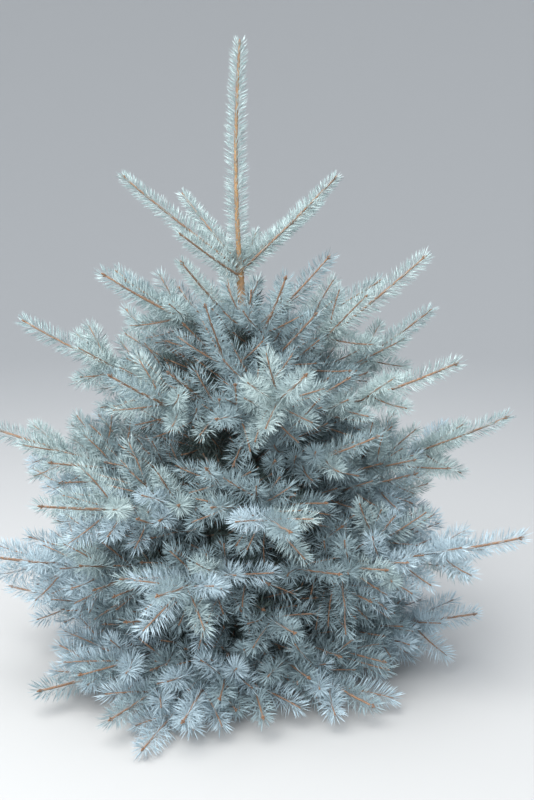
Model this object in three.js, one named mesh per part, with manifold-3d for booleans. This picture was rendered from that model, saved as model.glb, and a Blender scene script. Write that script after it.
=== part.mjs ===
// A young blue spruce, as a scene graph of closed solids.
// Millimetres and degrees, +Z up. The origin is the middle of the trunk's flat cut at ground level,
// +X is to the right and +Y away from a viewer who stands in front of the tree.
import * as THREE from "three";
import { mergeVertices } from "three/addons/utils/BufferGeometryUtils.js";
import Module from "manifold-3d";

const wasm = await Module();
wasm.setup();

// The trunk, from the flat cut to the tip of the leader.
const TREE_HEIGHT = 1470;
const TOP_WHORL_HEIGHT = 960;
const TRUNK_FOOT_RADIUS = 23;
const TRUNK_TOP_RADIUS = 8.5;
const ROOT_FLARE = 15;
const ROOT_FLARE_HEIGHT = 38;
const LEADER_FOOT_RADIUS = 6;
const LEADER_TIP_RADIUS = 2.6;
const TRUNK_WANDER = { across: -8, along: 4, wave: 960, slower: 0.7 };
const TRUNK_SIDES = 10;
const TRUNK_RINGS = [0, 25, 60, 120, 240, 400, 560, 720, 880, 950, 972, 1100, 1220, 1340, TREE_HEIGHT];

// Clearances: between neighbours, round the trunk, from a bough's tip to its foliage, and above the ground.
const GAP = 0.4;
const CUT_GAP = 0.35;
const JOINT_GAP = 0.3;
const GROUND_CLEARANCE = 4;

// Corners closer than the weld are one, and slivers thinner than this are smoothed away.
const WELD = 1e-3;
const SLIVER = 0.05;

// Boughs taper from the trunk to where their foliage begins.
const BOUGH_SIDES = 5;
const BOUGH_STEPS = 3;
const BOUGH_BARE_SHARE = 0.25;

// A stem's yearly lengths shorten as the tree ages, seen from the tip back. At the end of each year, and less
// strongly halfway through it, side twigs leave the stem: one to each side, and one above.
const YEARLY_GROWTH = 1.25;
const HALFWAY_VIGOUR = 0.62;
const SIDE_TWIG = { turn: 50, lift: 8, share: 0.58, stagger: 7 };
const TOP_TWIG = { turn: 16, lift: 42, share: 0.34, stagger: 22 };
const FORK_TWIG = { turn: 46, lift: 6, share: 0.6, stagger: 6 };
const FORK_PLACE = 0.42;
const FORKING_LENGTH = 165;
const TWIG_TURN_BACK = 0.3;
const LENGTH_JITTER = 0.12;
const ANGLE_JITTER = 6;
const LENGTH_TRIES = [1, 0.8, 0.6];
const SHORTEST_TWIG = 88;

// Foliage: a slim three-sided core, with a spike of needles standing on each of its facets.
const SPRAY_SIDES = 3;
const SPRAY_STEP = 64;
const STEM_RADIUS = 3.6;
const TWIG_RADIUS = 2.4;
const TIP_RADIUS = 1.7;
const ROOT_RADIUS = 1.2;
const NEEDLE_LENGTH = 33;
const NEEDLE_SPREAD = 0.12;
const NEEDLE_ANGLE_FOOT = 62;
const NEEDLE_ANGLE_TIP = 38;
const CROWDED_DISTANCE = 25;
const SPIKE_PROBES = [0.4, 0.7, 1];
const AXIS_STEP = 12;
const BUD_LENGTH = 12;
const LEADER_SIDES = 6;
const LEADER_WALL = 1.6;
const LEADER_BARE_FOOT = 26;
const LEADER_CAP = 2;

// Single shoots of this year, straight from the trunk: azimuth, height, reach, and climb at foot and tip.
// Azimuth 0 is +X and 90 is +Y, away from the viewer.
const TOP_SHOOTS = [
  { azimuth: 5, height: 949, reach: 226, foot: 42, tip: 46 },
  { azimuth: 37, height: 967, reach: 247, foot: 30, tip: 33 },
  { azimuth: 72, height: 955, reach: 130, foot: 30, tip: 36 },
  { azimuth: 130, height: 966, reach: 218, foot: 36, tip: 40 },
  { azimuth: 183, height: 957, reach: 268, foot: 36, tip: 40 },
  { azimuth: 222, height: 938, reach: 178, foot: 26, tip: 31 },
  { azimuth: 236, height: 812, reach: 236, foot: 30, tip: 38 },
];

// Whorls of limbs, from the top down. In the younger two the foliage starts at the trunk, and in the older
// three at the end of a bough. A limb may leave the trunk below its whorl by a drop. Lower down, where
// there are too many needles to count, each spike stands for more of them, so the sprays are larger.
const WHORLS = [
  {
    number: 2,
    sprays: 1.05,
    height: 765,
    years: 2,
    limbs: [
      { azimuth: 20, reach: 365, foot: 21, tip: 29 },
      { azimuth: 98, reach: 345, foot: 24, tip: 33 },
      { azimuth: 152, reach: 360, foot: 23, tip: 33 },
      { azimuth: 204, reach: 338, foot: 20, tip: 32 },
      { azimuth: 290, reach: 262, foot: 18, tip: 48 },
      { azimuth: 353, reach: 425, foot: 34, tip: 42, drop: 130 },
    ],
  },
  {
    number: 3,
    sprays: 1.15,
    height: 585,
    years: 3,
    limbs: [
      { azimuth: 25, reach: 545, foot: 20, tip: 32 },
      { azimuth: 76, reach: 480, foot: 22, tip: 34 },
      { azimuth: 130, reach: 490, foot: 22, tip: 34 },
      { azimuth: 184, reach: 510, foot: 18, tip: 31 },
      { azimuth: 232, reach: 440, foot: 14, tip: 28 },
      { azimuth: 284, reach: 500, foot: 12, tip: 24 },
      { azimuth: 334, reach: 520, foot: 12, tip: 26 },
    ],
  },
  {
    number: 4,
    sprays: 1.3,
    height: 412,
    years: 4,
    footRadius: 7,
    limbs: [
      { azimuth: 2, reach: 660, foot: 9, tip: 23 },
      { azimuth: 58, reach: 620, foot: 8, tip: 22 },
      { azimuth: 118, reach: 605, foot: 8, tip: 23 },
      { azimuth: 178, reach: 645, foot: 7, tip: 21 },
      { azimuth: 228, reach: 590, foot: 3, tip: 15 },
      { azimuth: 280, reach: 560, foot: -1, tip: 10 },
    ],
  },
  {
    number: 5,
    sprays: 1.35,
    height: 248,
    years: 5,
    footRadius: 7.6,
    limbs: [
      { azimuth: 335, reach: 685, foot: 4, tip: 19 },
      { azimuth: 32, reach: 655, foot: 3, tip: 20 },
      { azimuth: 90, reach: 630, foot: 3, tip: 20 },
      { azimuth: 150, reach: 645, foot: 3, tip: 21 },
      { azimuth: 204, reach: 655, foot: 2, tip: 17 },
      { azimuth: 255, reach: 585, foot: 2, tip: 15 },
    ],
  },
  {
    number: 6,
    sprays: 1.35,
    height: 110,
    years: 6,
    footRadius: 7.2,
    limbs: [
      { azimuth: 350, reach: 575, foot: -6, tip: 13 },
      { azimuth: 52, reach: 560, foot: -7, tip: 11 },
      { azimuth: 112, reach: 565, foot: -7, tip: 11 },
      { azimuth: 172, reach: 585, foot: -7, tip: 12 },
      { azimuth: 218, reach: 545, foot: -12, tip: 4 },
      { azimuth: 258, reach: 535, foot: -14, tip: 4 },
      { azimuth: 304, reach: 500, foot: -13, tip: 3 },
    ],
  },
];
const WHORL_STAGGER = 13;

// How far apart the seeds of two whorls are, and of two limbs in a whorl.
const WHORL_SEEDS = 1000;
const LIMB_SEEDS = 10;

const BARK_COLOUR = 0x8a5a36;
const NEEDLE_COLOUR = 0x8fabb5;

const barkMaterial = new THREE.MeshStandardMaterial({ color: BARK_COLOUR, roughness: 0.85, metalness: 0 });
const needleMaterial = new THREE.MeshStandardMaterial({ color: NEEDLE_COLOUR, roughness: 0.6, metalness: 0 });

const UP = new THREE.Vector3(0, 0, 1);
const STEEP = 0.75;
const NEARBY_SHARE = 0.01;
const CORNERS_PER_STEP = 6;
const radians = THREE.MathUtils.degToRad;
const lerp = THREE.MathUtils.lerp;

// A seeded generator of numbers from 0 to 1, so that the tree grows the same each time.
function seeded(seed) {
  let state = seed >>> 0;
  return () => {
    state = (state + 0x6d2b79f5) >>> 0;
    let mixed = Math.imul(state ^ (state >>> 15), 1 | state);
    mixed = (mixed + Math.imul(mixed ^ (mixed >>> 7), 61 | mixed)) ^ mixed;
    return ((mixed ^ (mixed >>> 14)) >>> 0) / 2 ** 32;
  };
}

// The middle of the trunk at a height: it wanders a little from side to side, and more slowly to and fro.
function trunkCentre(z) {
  const turn = (2 * Math.PI * z) / TRUNK_WANDER.wave;
  const across = TRUNK_WANDER.across * Math.sin(turn);
  const along = TRUNK_WANDER.along * Math.sin(turn * TRUNK_WANDER.slower);
  return new THREE.Vector3(across, along, z);
}

// The trunk's radius at a height, with its root flare and the step at the top whorl.
function trunkRadius(z) {
  if (z > TOP_WHORL_HEIGHT) {
    const share = (z - TOP_WHORL_HEIGHT) / (TREE_HEIGHT - TOP_WHORL_HEIGHT);
    return lerp(LEADER_FOOT_RADIUS, LEADER_TIP_RADIUS, share);
  }
  const taper = lerp(TRUNK_FOOT_RADIUS, TRUNK_TOP_RADIUS, z / TOP_WHORL_HEIGHT);
  return taper + ROOT_FLARE * Math.exp(-z / ROOT_FLARE_HEIGHT);
}

// A closed limb: a cylinder whose rings are moved onto a curve. pointAt and radiusAt take a share from 0
// to 1. Each ring is turned more than the last by the twist, and is square to the curve unless it is level.
function limbGeometry(pointAt, radiusAt, sides, shares, { twist = 0, level = false } = {}) {
  const steps = shares.length - 1;
  const geometry = new THREE.CylinderGeometry(1, 1, 1, sides, steps);
  const position = geometry.attributes.position;
  const chord = pointAt(1).sub(pointAt(0)).normalize();
  const reference = chord.z > STEEP ? new THREE.Vector3(0, 1, 0) : UP;
  const rings = shares.map((share, ring) => {
    const ahead = pointAt(Math.min(share + NEARBY_SHARE, 1));
    const behind = pointAt(Math.max(share - NEARBY_SHARE, 0));
    const tangent = level ? UP.clone() : ahead.sub(behind).normalize();
    const side = new THREE.Vector3().crossVectors(tangent, reference).normalize();
    return { centre: pointAt(share), side, up: side.clone().cross(tangent), turn: -radians(twist) * ring };
  });
  const radii = shares.map(radiusAt);
  for (let i = 0; i < position.count; i++) {
    const index = Math.round((position.getY(i) + 0.5) * steps);
    const ring = rings[index];
    const x = position.getX(i);
    const z = position.getZ(i);
    const across = (x * Math.cos(ring.turn) + z * Math.sin(ring.turn)) * radii[index];
    const over = (z * Math.cos(ring.turn) - x * Math.sin(ring.turn)) * radii[index];
    const point = ring.centre.clone().addScaledVector(ring.side, across).addScaledVector(ring.up, over);
    position.setXYZ(i, point.x, point.y, point.z);
  }
  return geometry;
}

// Evenly spaced shares from 0 to 1.
function evenShares(steps) {
  return Array.from({ length: steps + 1 }, (_, i) => i / steps);
}

// How many steps a spray of a length takes.
function stepsFor(length, size) {
  return Math.max(2, Math.round(length / (SPRAY_STEP * size)));
}

// Raises a spike of needles on each side facet of a limb, and a bud on its tip. A spike whose point would
// leave the limb's own space is left out.
function needledGeometry(pointAt, radiusAt, sides, shares, { random, hasRoom, bareSteps, needleLength }) {
  const limb = limbGeometry(pointAt, radiusAt, sides, shares, { twist: 180 / sides });
  const steps = shares.length - 1;
  const [wall, tipCap, footCap] = limb.groups;
  const corner = (n) => new THREE.Vector3().fromBufferAttribute(limb.attributes.position, limb.index.getX(n));
  const faceAt = (n) => [corner(n), corner(n + 1), corner(n + 2)];
  const points = [];
  const addFace = (...face) => points.push(...face);
  for (let n = wall.start; n < wall.start + wall.count; n += 3) {
    const face = faceAt(n);
    const stepFromTip = Math.floor((n - wall.start) / CORNERS_PER_STEP) % steps;
    const step = steps - 1 - stepFromTip;
    if (step < bareSteps) {
      addFace(...face);
      continue;
    }
    const share = (shares[step] + shares[step + 1]) / 2;
    const base = face[0].clone().add(face[1]).add(face[2]).divideScalar(3);
    const ringCentre = pointAt(shares[step]);
    const tangent = pointAt(shares[step + 1]).sub(ringCentre).normalize();
    const outward = base.clone().sub(ringCentre);
    outward.addScaledVector(tangent, -outward.dot(tangent)).normalize();
    const angle = radians(lerp(NEEDLE_ANGLE_FOOT, NEEDLE_ANGLE_TIP, share * share));
    const length = needleLength * (1 + NEEDLE_SPREAD * (2 * random() - 1));
    const apex = base.clone().addScaledVector(outward, length * Math.sin(angle));
    apex.addScaledVector(tangent, length * Math.cos(angle));
    if (!SPIKE_PROBES.every((probe) => hasRoom(base.clone().lerp(apex, probe)))) {
      addFace(...face);
      continue;
    }
    addFace(face[0], face[1], apex);
    addFace(face[1], face[2], apex);
    addFace(face[2], face[0], apex);
  }
  for (let n = footCap.start; n < footCap.start + footCap.count; n += 3) addFace(...faceAt(n));
  const tip = pointAt(1);
  const forward = tip.clone().sub(pointAt(1 - NEARBY_SHARE)).normalize();
  const bud = tip.clone().addScaledVector(forward, BUD_LENGTH);
  for (let n = tipCap.start; n < tipCap.start + tipCap.count; n += 3) {
    addFace(...faceAt(n).map((point) => (point.distanceTo(tip) < WELD ? bud : point)));
  }
  return new THREE.BufferGeometry().setFromPoints(points);
}

// A closed geometry as a solid that can be joined, cut and measured.
function solidOf(geometry) {
  const bare = geometry.clone();
  bare.deleteAttribute("normal");
  bare.deleteAttribute("uv");
  const merged = mergeVertices(bare, WELD);
  return new wasm.Manifold(
    new wasm.Mesh({
      numProp: 3,
      vertProperties: new Float32Array(merged.attributes.position.array),
      triVerts: new Uint32Array(merged.index.array),
    }),
  );
}

// A solid as a geometry again.
function geometryOf(solid) {
  const mesh = solid.getMesh();
  const stride = mesh.numProp;
  const positions = new Float32Array(mesh.numVert * 3);
  for (let i = 0; i < mesh.numVert; i++) {
    positions.set(mesh.vertProperties.subarray(i * stride, i * stride + 3), i * 3);
  }
  const geometry = new THREE.BufferGeometry();
  geometry.setAttribute("position", new THREE.BufferAttribute(positions, 3));
  geometry.setIndex(new THREE.BufferAttribute(mesh.triVerts, 1));
  geometry.computeVertexNormals();
  return geometry;
}

// The trunk as a solid, grown outwards by a margin where it is used as a cutter.
function trunkSolid(margin) {
  const shares = TRUNK_RINGS.map((z) => z / TREE_HEIGHT);
  const pointAt = (share) => trunkCentre(share * TREE_HEIGHT + (share === 1 ? margin : 0));
  const radiusAt = (share) => trunkRadius(share * TREE_HEIGHT) + margin;
  return solidOf(limbGeometry(pointAt, radiusAt, TRUNK_SIDES, shares, { level: true }));
}

// The curve of a limb that leaves the trunk: it climbs at one angle at its foot and another at its tip.
function limbCurve({ azimuth, height, reach, foot, tip }) {
  const outward = new THREE.Vector3(Math.cos(radians(azimuth)), Math.sin(radians(azimuth)), 0);
  const start = trunkCentre(height);
  const bend = start.clone().addScaledVector(outward, reach / 2);
  bend.z += (reach / 2) * Math.tan(radians(foot));
  const end = start.clone().addScaledVector(outward, reach);
  end.z += (reach / 2) * (Math.tan(radians(foot)) + Math.tan(radians(tip)));
  return new THREE.QuadraticBezierCurve3(start, bend, end);
}

// The places along a stem where side twigs leave it, from 0 at the trunk to 1 at the tip, and their vigour.
function stemNodes(years) {
  const growths = Array.from({ length: years }, (_, year) => YEARLY_GROWTH ** year);
  const total = growths.reduce((sum, growth) => sum + growth, 0);
  let reached = 0;
  return growths.slice(0, -1).flatMap((growth) => {
    const halfway = { at: (reached + growth / 2) / total, vigour: HALFWAY_VIGOUR };
    reached += growth;
    return [halfway, { at: reached / total, vigour: 1 }];
  });
}

// One twig of the rule, with its own small differences. Its length is a share of what is left of the stem.
function twigOf(kind, hand, at, vigour, random) {
  const jitter = () => 2 * random() - 1;
  const turn = hand * (kind.turn + ANGLE_JITTER * jitter());
  const lift = kind.lift + ANGLE_JITTER * jitter();
  const stagger = hand * kind.stagger;
  return { at, stagger, turn, lift, share: kind.share * vigour * (1 + LENGTH_JITTER * jitter()) };
}

// The twigs that the rule gives a stem: at each node one to each side, and one above.
function twigsOf(nodes, random) {
  return nodes.flatMap(({ at, vigour }, index) => [
    twigOf(SIDE_TWIG, 1, at, vigour, random),
    twigOf(SIDE_TWIG, -1, at, vigour, random),
    twigOf(TOP_TWIG, index % 2 ? 1 : -1, at, vigour, random),
  ]);
}

// A twig's curve: it leaves its stem at an angle, then turns back a little towards the stem's own direction.
function twigCurve(stem, twig, length) {
  const at = twig.at + twig.stagger / stem.getLength();
  const start = stem.getPoint(at);
  const forward = stem.getTangent(at);
  const side = new THREE.Vector3().crossVectors(forward, UP).normalize();
  const up = side.clone().cross(forward);
  const turn = radians(twig.turn);
  const lift = radians(twig.lift);
  const flat = forward.clone().multiplyScalar(Math.cos(turn)).addScaledVector(side, Math.sin(turn));
  const direction = flat.multiplyScalar(Math.cos(lift)).addScaledVector(up, Math.sin(lift));
  const bend = start.clone().addScaledVector(direction, length / 2);
  const late = direction.clone().lerp(forward, TWIG_TURN_BACK).normalize();
  return new THREE.QuadraticBezierCurve3(start, bend, bend.clone().addScaledVector(late, length / 2));
}

// One needled twig along a curve, from a share of it to its end. Its first step is bare, and its root is
// slim enough to start inside the core that it grows from.
function spraySolid(curve, from, rootRadius, radius, size, random, hasRoom) {
  const pointAt = (share) => curve.getPoint(lerp(from, 1, share));
  const length = curve.getLength() * (1 - from);
  const radiusAt = (share) => (share ? lerp(radius, TIP_RADIUS, share) : rootRadius);
  const shares = evenShares(stepsFor(length, size));
  const needles = { random, hasRoom, bareSteps: 1, needleLength: NEEDLE_LENGTH * size };
  return solidOf(needledGeometry(pointAt, radiusAt, SPRAY_SIDES, shares, needles));
}

// The space of each limb in a whorl: above the ground, and between the planes halfway to its neighbours.
function spacesOf(azimuths) {
  const turn = (from, to) => THREE.MathUtils.euclideanModulo(to - from, 360);
  return azimuths.map((azimuth) => {
    const others = azimuths.filter((other) => other !== azimuth);
    const left = Math.min(...others.map((other) => turn(azimuth, other))) / 2;
    const right = Math.min(...others.map((other) => turn(other, azimuth))) / 2;
    return (point) => {
      const centre = trunkCentre(point.z);
      const reach = Math.hypot(point.x - centre.x, point.y - centre.y);
      const at = THREE.MathUtils.radToDeg(Math.atan2(point.y - centre.y, point.x - centre.x));
      const margin = THREE.MathUtils.radToDeg(GAP / reach);
      const offset = THREE.MathUtils.euclideanModulo(at - azimuth + 180, 360) - 180;
      return point.z > GROUND_CLEARANCE && offset < left - margin && offset > margin - right;
    };
  });
}

// Whether two solids come closer than the gap that neighbours keep.
function touches(a, b) {
  const first = a.boundingBox();
  const second = b.boundingBox();
  const apart = [0, 1, 2].some(
    (i) => first.min[i] > second.max[i] + GAP || second.min[i] > first.max[i] + GAP,
  );
  return !apart && a.minGap(b, GAP) < GAP;
}

// The joined twigs of a mass as one closed body: hollows that the joint seals are filled, loose scraps go.
// Welding corners that nearly meet can seal another hollow, so this is done until one body is left.
function joinedMass(solids) {
  let bodies = wasm.Manifold.union(solids).simplify(SLIVER).decompose();
  for (;;) {
    const largest = bodies.reduce((best, body) => (body.volume() > best.volume() ? body : best));
    const welded = solidOf(geometryOf(largest));
    bodies = welded.decompose();
    if (bodies.length === 1) return welded;
  }
}

const root = new THREE.Group();
function addNode(name, solid, material) {
  const mesh = new THREE.Mesh(geometryOf(solid), material);
  mesh.name = name;
  root.add(mesh);
}

// Every solid so far, by the node that it belongs to, for a later one to stay clear of.
const placed = [];
const place = (owner, solid) => placed.push({ owner, solid });
const isClear = (owner, solid) =>
  placed.every((other) => other.owner === owner || !touches(solid, other.solid));

const trunk = trunkSolid(0);
const trunkCutter = trunkSolid(CUT_GAP);
place("trunk", trunk);
addNode("trunk", trunk, barkMaterial);

// The leader's needles stand round the trunk's top as a sleeve, cut clear of it.
function leaderNeedles() {
  const lowest = TOP_WHORL_HEIGHT + LEADER_BARE_FOOT;
  const highest = TREE_HEIGHT + LEADER_CAP;
  const pointAt = (share) => trunkCentre(lerp(lowest, highest, share));
  const widening = 1 / Math.cos(Math.PI / LEADER_SIDES);
  const radiusAt = (share) => (trunkRadius(lerp(lowest, TREE_HEIGHT, share)) + LEADER_WALL) * widening;
  const shares = evenShares(stepsFor(highest - lowest, 1));
  const needles = { random: seeded(1), hasRoom: () => true, bareSteps: 0, needleLength: NEEDLE_LENGTH };
  const sleeve = needledGeometry(pointAt, radiusAt, LEADER_SIDES, shares, needles);
  return joinedMass([solidOf(sleeve).subtract(trunkCutter)]);
}

// A mass of foliage on a stem: its twigs are drawn by the rule first, and then each one that finds room
// grows, shortened or skipped where it doesn't. Spikes that would stand into another twig are left out.
class FoliageMass {
  constructor({ name, stem, from, nodes, seed, size, isInSpace }) {
    Object.assign(this, { name, stem, from, size, isInSpace });
    const random = seeded(seed);
    this.twigs = twigsOf(nodes, random).map((twig) => ({
      ...twig,
      forks: [-1, 1].map((hand) => twigOf(FORK_TWIG, hand, FORK_PLACE, 1, random)),
    }));
    this.random = seeded(seed + 1);
    this.axes = [];
    this.solids = [];
  }

  lengthOf(parent, twig) {
    return parent.getLength() * (1 - twig.at) * twig.share;
  }

  axisOf(curve) {
    return curve.getPoints(Math.ceil(curve.getLength() / AXIS_STEP));
  }

  // The needled solid along one axis, with no spike in the way of the twigs that are to leave it.
  sprayOn(curve, from, rootRadius, radius, twigs) {
    const planned = twigs
      .filter((twig) => this.lengthOf(curve, twig) > SHORTEST_TWIG)
      .map((twig) => this.axisOf(twigCurve(curve, twig, this.lengthOf(curve, twig))));
    const taken = [...this.axes, ...planned].flat();
    const isFree = (point) => taken.every((other) => other.distanceTo(point) > CROWDED_DISTANCE);
    const hasRoom = (point) => this.isInSpace(point) && isFree(point);
    return spraySolid(curve, from, rootRadius, radius, this.size, this.random, hasRoom);
  }

  add(curve, solid) {
    this.axes.push(this.axisOf(curve));
    this.solids.push(solid);
    place(this.name, solid);
  }

  growStem() {
    const whole = this.sprayOn(this.stem, this.from, STEM_RADIUS, STEM_RADIUS, this.twigs);
    this.add(this.stem, this.from === 0 ? whole.subtract(trunkCutter) : whole);
  }

  growTwig(parent, twig, forks) {
    for (const share of LENGTH_TRIES) {
      const length = this.lengthOf(parent, twig) * share;
      if (length < SHORTEST_TWIG) return;
      const curve = twigCurve(parent, twig, length);
      if (!this.isInSpace(curve.getPoint(1))) continue;
      const growing = length > FORKING_LENGTH ? forks : [];
      const solid = this.sprayOn(curve, 0, ROOT_RADIUS, TWIG_RADIUS, growing);
      if (!isClear(this.name, solid)) continue;
      this.add(curve, solid);
      growing.forEach((fork) => this.growTwig(curve, fork, []));
      return;
    }
  }

  growTwigs() {
    this.twigs.forEach((twig) => this.growTwig(this.stem, twig, twig.forks));
  }
}

// A bough: the bare foot of a limb, cut clear of the trunk.
function addBough(name, stem, end, footRadius) {
  const radiusAt = (share) => lerp(footRadius, STEM_RADIUS, share);
  const pointAt = (share) => stem.getPoint(share * end);
  const whole = limbGeometry(pointAt, radiusAt, BOUGH_SIDES, evenShares(BOUGH_STEPS));
  const limb = solidOf(whole).subtract(trunkCutter);
  place(name, limb);
  addNode(name, limb, barkMaterial);
}

const leader = leaderNeedles();
place("leader_needles", leader);
addNode("leader_needles", leader, needleMaterial);

const masses = [];
const topSpaces = spacesOf(TOP_SHOOTS.map((shoot) => shoot.azimuth));
TOP_SHOOTS.forEach((shoot, index) => {
  const name = "top_shoot_" + (index + 1);
  const stem = limbCurve(shoot);
  const isInSpace = topSpaces[index];
  masses.push(new FoliageMass({ name, stem, from: 0, nodes: [], seed: index, size: 1, isInSpace }));
});

WHORLS.forEach((whorl) => {
  const nodes = stemNodes(whorl.years);
  const spaces = spacesOf(whorl.limbs.map((limb) => limb.azimuth));
  whorl.limbs.forEach((limb, index) => {
    const label = whorl.number + "_" + (index + 1);
    const stagger = index % 2 ? WHORL_STAGGER : -WHORL_STAGGER;
    const stem = limbCurve({ ...limb, height: whorl.height + stagger - (limb.drop ?? 0) });
    const seed = WHORL_SEEDS * whorl.number + LIMB_SEEDS * index;
    const split = whorl.footRadius ? BOUGH_BARE_SHARE : 0;
    if (split) addBough("bough_" + label, stem, split - JOINT_GAP / stem.getLength(), whorl.footRadius);
    const name = "foliage_" + label;
    const outer = nodes.filter((node) => node.at > split);
    const growth = { from: split, nodes: outer, seed, size: whorl.sprays, isInSpace: spaces[index] };
    masses.push(new FoliageMass({ name, stem, ...growth }));
  });
});

masses.forEach((mass) => mass.growStem());
masses.forEach((mass) => mass.growTwigs());
masses.forEach((mass) => addNode(mass.name, joinedMass(mass.solids), needleMaterial));

export default root;
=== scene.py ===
"""A young blue spruce: bark, twigs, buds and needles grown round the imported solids.

Everything that grows is worked out in millimetres by the rule that the solids follow, carried on to finer
twigs, and turned into metres where a mesh is made. The origin is the middle of the trunk's flat cut at
ground level, +Z is up, +X to the right and +Y away from the viewer.
"""

import itertools
import logging
import math
from collections.abc import Callable, Sequence
from dataclasses import dataclass, field, replace
from enum import Enum

import bpy
import numpy as np
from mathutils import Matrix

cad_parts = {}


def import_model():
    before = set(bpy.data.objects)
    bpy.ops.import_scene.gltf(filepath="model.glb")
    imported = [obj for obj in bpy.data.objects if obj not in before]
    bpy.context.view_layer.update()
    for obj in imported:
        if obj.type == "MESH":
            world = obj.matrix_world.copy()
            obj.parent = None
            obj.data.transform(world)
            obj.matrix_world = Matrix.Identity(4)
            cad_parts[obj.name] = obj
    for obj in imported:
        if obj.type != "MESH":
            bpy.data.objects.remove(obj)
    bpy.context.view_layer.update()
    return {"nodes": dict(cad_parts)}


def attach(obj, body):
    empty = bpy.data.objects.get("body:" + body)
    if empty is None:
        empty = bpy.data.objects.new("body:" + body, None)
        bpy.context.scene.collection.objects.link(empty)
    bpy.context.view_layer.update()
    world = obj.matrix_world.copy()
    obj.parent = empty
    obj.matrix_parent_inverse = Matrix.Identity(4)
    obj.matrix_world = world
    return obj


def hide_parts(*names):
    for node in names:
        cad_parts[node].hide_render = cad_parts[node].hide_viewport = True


LOG = logging.getLogger("blue_spruce")

MM = 0.001
UP = np.array([0.0, 0.0, 1.0])
AWAY = np.array([0.0, 1.0, 0.0])
GOLDEN_ANGLE = math.radians(137.508)
TINY = 1e-9
MASK = 0xFFFFFFFF
# The places of the factor, the two colours and the result among a colour mix node's sockets.
COLOUR_MIX_INPUTS = (0, 6, 7)
COLOUR_MIX_RESULT = 2
TOP_TIER = "top"

Vector3 = np.ndarray
Colour = tuple[float, float, float]


class Tone(Enum):
    """The needle colours that are dealt out by spray: paler on this year's growth, darker on older growth
    and, as painted shade, deeper in the crown.
    """

    FROST = "frost"
    SILVER = "silver"
    AZURE = "azure"
    STEEL = "steel"
    BLUE = "blue"
    # The darkest tone is painted shade: it is dealt only to sprays with some depth in the crown, sooner on
    # older growth.
    DEEP = "deep"


class TwigAge(Enum):
    """A twig's bark is bright in its first year and dull later on."""

    THIS_YEAR = "this_year"
    OLDER = "older"


@dataclass(frozen=True)
class LimbPlan:
    """A limb's place and climb.

    Args:
        azimuth: Its direction from above in degrees, 0 along +X and 90 along +Y.
        reach: How far its tip is from the trunk, in millimetres.
        foot: Its climb at the trunk, in degrees.
        tip: Its climb at the tip, in degrees.
        drop: How far below its whorl it leaves the trunk.
    """

    azimuth: float
    reach: float
    foot: float
    tip: float
    drop: float = 0.0


@dataclass(frozen=True)
class WhorlPlan:
    """A whorl of limbs of one age.

    Args:
        number: Its number from the top down, which is also in its nodes' names.
        height: Where it leaves the trunk.
        years: How many years its limbs have grown.
        limbs: The limbs, going round.
        foot_radius: A bough's radius at the trunk, or 0 where foliage starts at the trunk.
    """

    number: int
    height: float
    years: int
    limbs: tuple[LimbPlan, ...]
    foot_radius: float = 0.0


@dataclass(frozen=True)
class TwigHabit:
    """How one kind of twig leaves its stem: its turn and lift in degrees, length share and stagger."""

    turn: float
    lift: float
    share: float
    stagger: float


@dataclass(frozen=True)
class Twig:
    """One twig of the rule, before it has a length.

    Args:
        at: The share of its stem at which it leaves.
        stagger: How far beside that, in millimetres.
        turn: Its angle to the stem, in degrees and to the side of its sign.
        lift: Its climb above the stem's plane, in degrees.
        share: Its length as a share of what is left of the stem.
    """

    at: float
    stagger: float
    turn: float
    lift: float
    share: float


# Each top shoot's height on the trunk, and its plan.
TOP_SHOOTS = (
    (949, LimbPlan(5, 226, 42, 46)),
    (967, LimbPlan(37, 247, 30, 33)),
    (955, LimbPlan(72, 130, 30, 36)),
    (966, LimbPlan(130, 218, 36, 40)),
    (957, LimbPlan(183, 268, 36, 40)),
    (938, LimbPlan(222, 178, 26, 31)),
    (812, LimbPlan(236, 236, 30, 38)),
)

WHORLS = (
    WhorlPlan(
        2,
        765,
        2,
        (
            LimbPlan(20, 365, 21, 29),
            LimbPlan(98, 345, 24, 33),
            LimbPlan(152, 360, 23, 33),
            LimbPlan(204, 338, 20, 32),
            LimbPlan(290, 262, 18, 48),
            LimbPlan(353, 425, 34, 42, drop=130),
        ),
    ),
    WhorlPlan(
        3,
        585,
        3,
        (
            LimbPlan(25, 545, 20, 32),
            LimbPlan(76, 480, 22, 34),
            LimbPlan(130, 490, 22, 34),
            LimbPlan(184, 510, 18, 31),
            LimbPlan(232, 440, 14, 28),
            LimbPlan(284, 500, 12, 24),
            LimbPlan(334, 520, 12, 26),
        ),
    ),
    WhorlPlan(
        4,
        412,
        4,
        (
            LimbPlan(2, 660, 9, 23),
            LimbPlan(58, 620, 8, 22),
            LimbPlan(118, 605, 8, 23),
            LimbPlan(178, 645, 7, 21),
            LimbPlan(228, 590, 3, 15),
            LimbPlan(280, 560, -1, 10),
        ),
        foot_radius=7.0,
    ),
    WhorlPlan(
        5,
        248,
        5,
        (
            LimbPlan(335, 685, 4, 19),
            LimbPlan(32, 655, 3, 20),
            LimbPlan(90, 630, 3, 20),
            LimbPlan(150, 645, 3, 21),
            LimbPlan(204, 655, 2, 17),
            LimbPlan(255, 585, 2, 15),
        ),
        foot_radius=7.6,
    ),
    WhorlPlan(
        6,
        110,
        6,
        (
            LimbPlan(350, 575, -6, 13),
            LimbPlan(52, 560, -7, 11),
            LimbPlan(112, 565, -7, 11),
            LimbPlan(172, 585, -7, 12),
            LimbPlan(218, 545, -12, 4),
            LimbPlan(258, 535, -14, 4),
            LimbPlan(304, 500, -13, 3),
        ),
        foot_radius=7.2,
    ),
)


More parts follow.
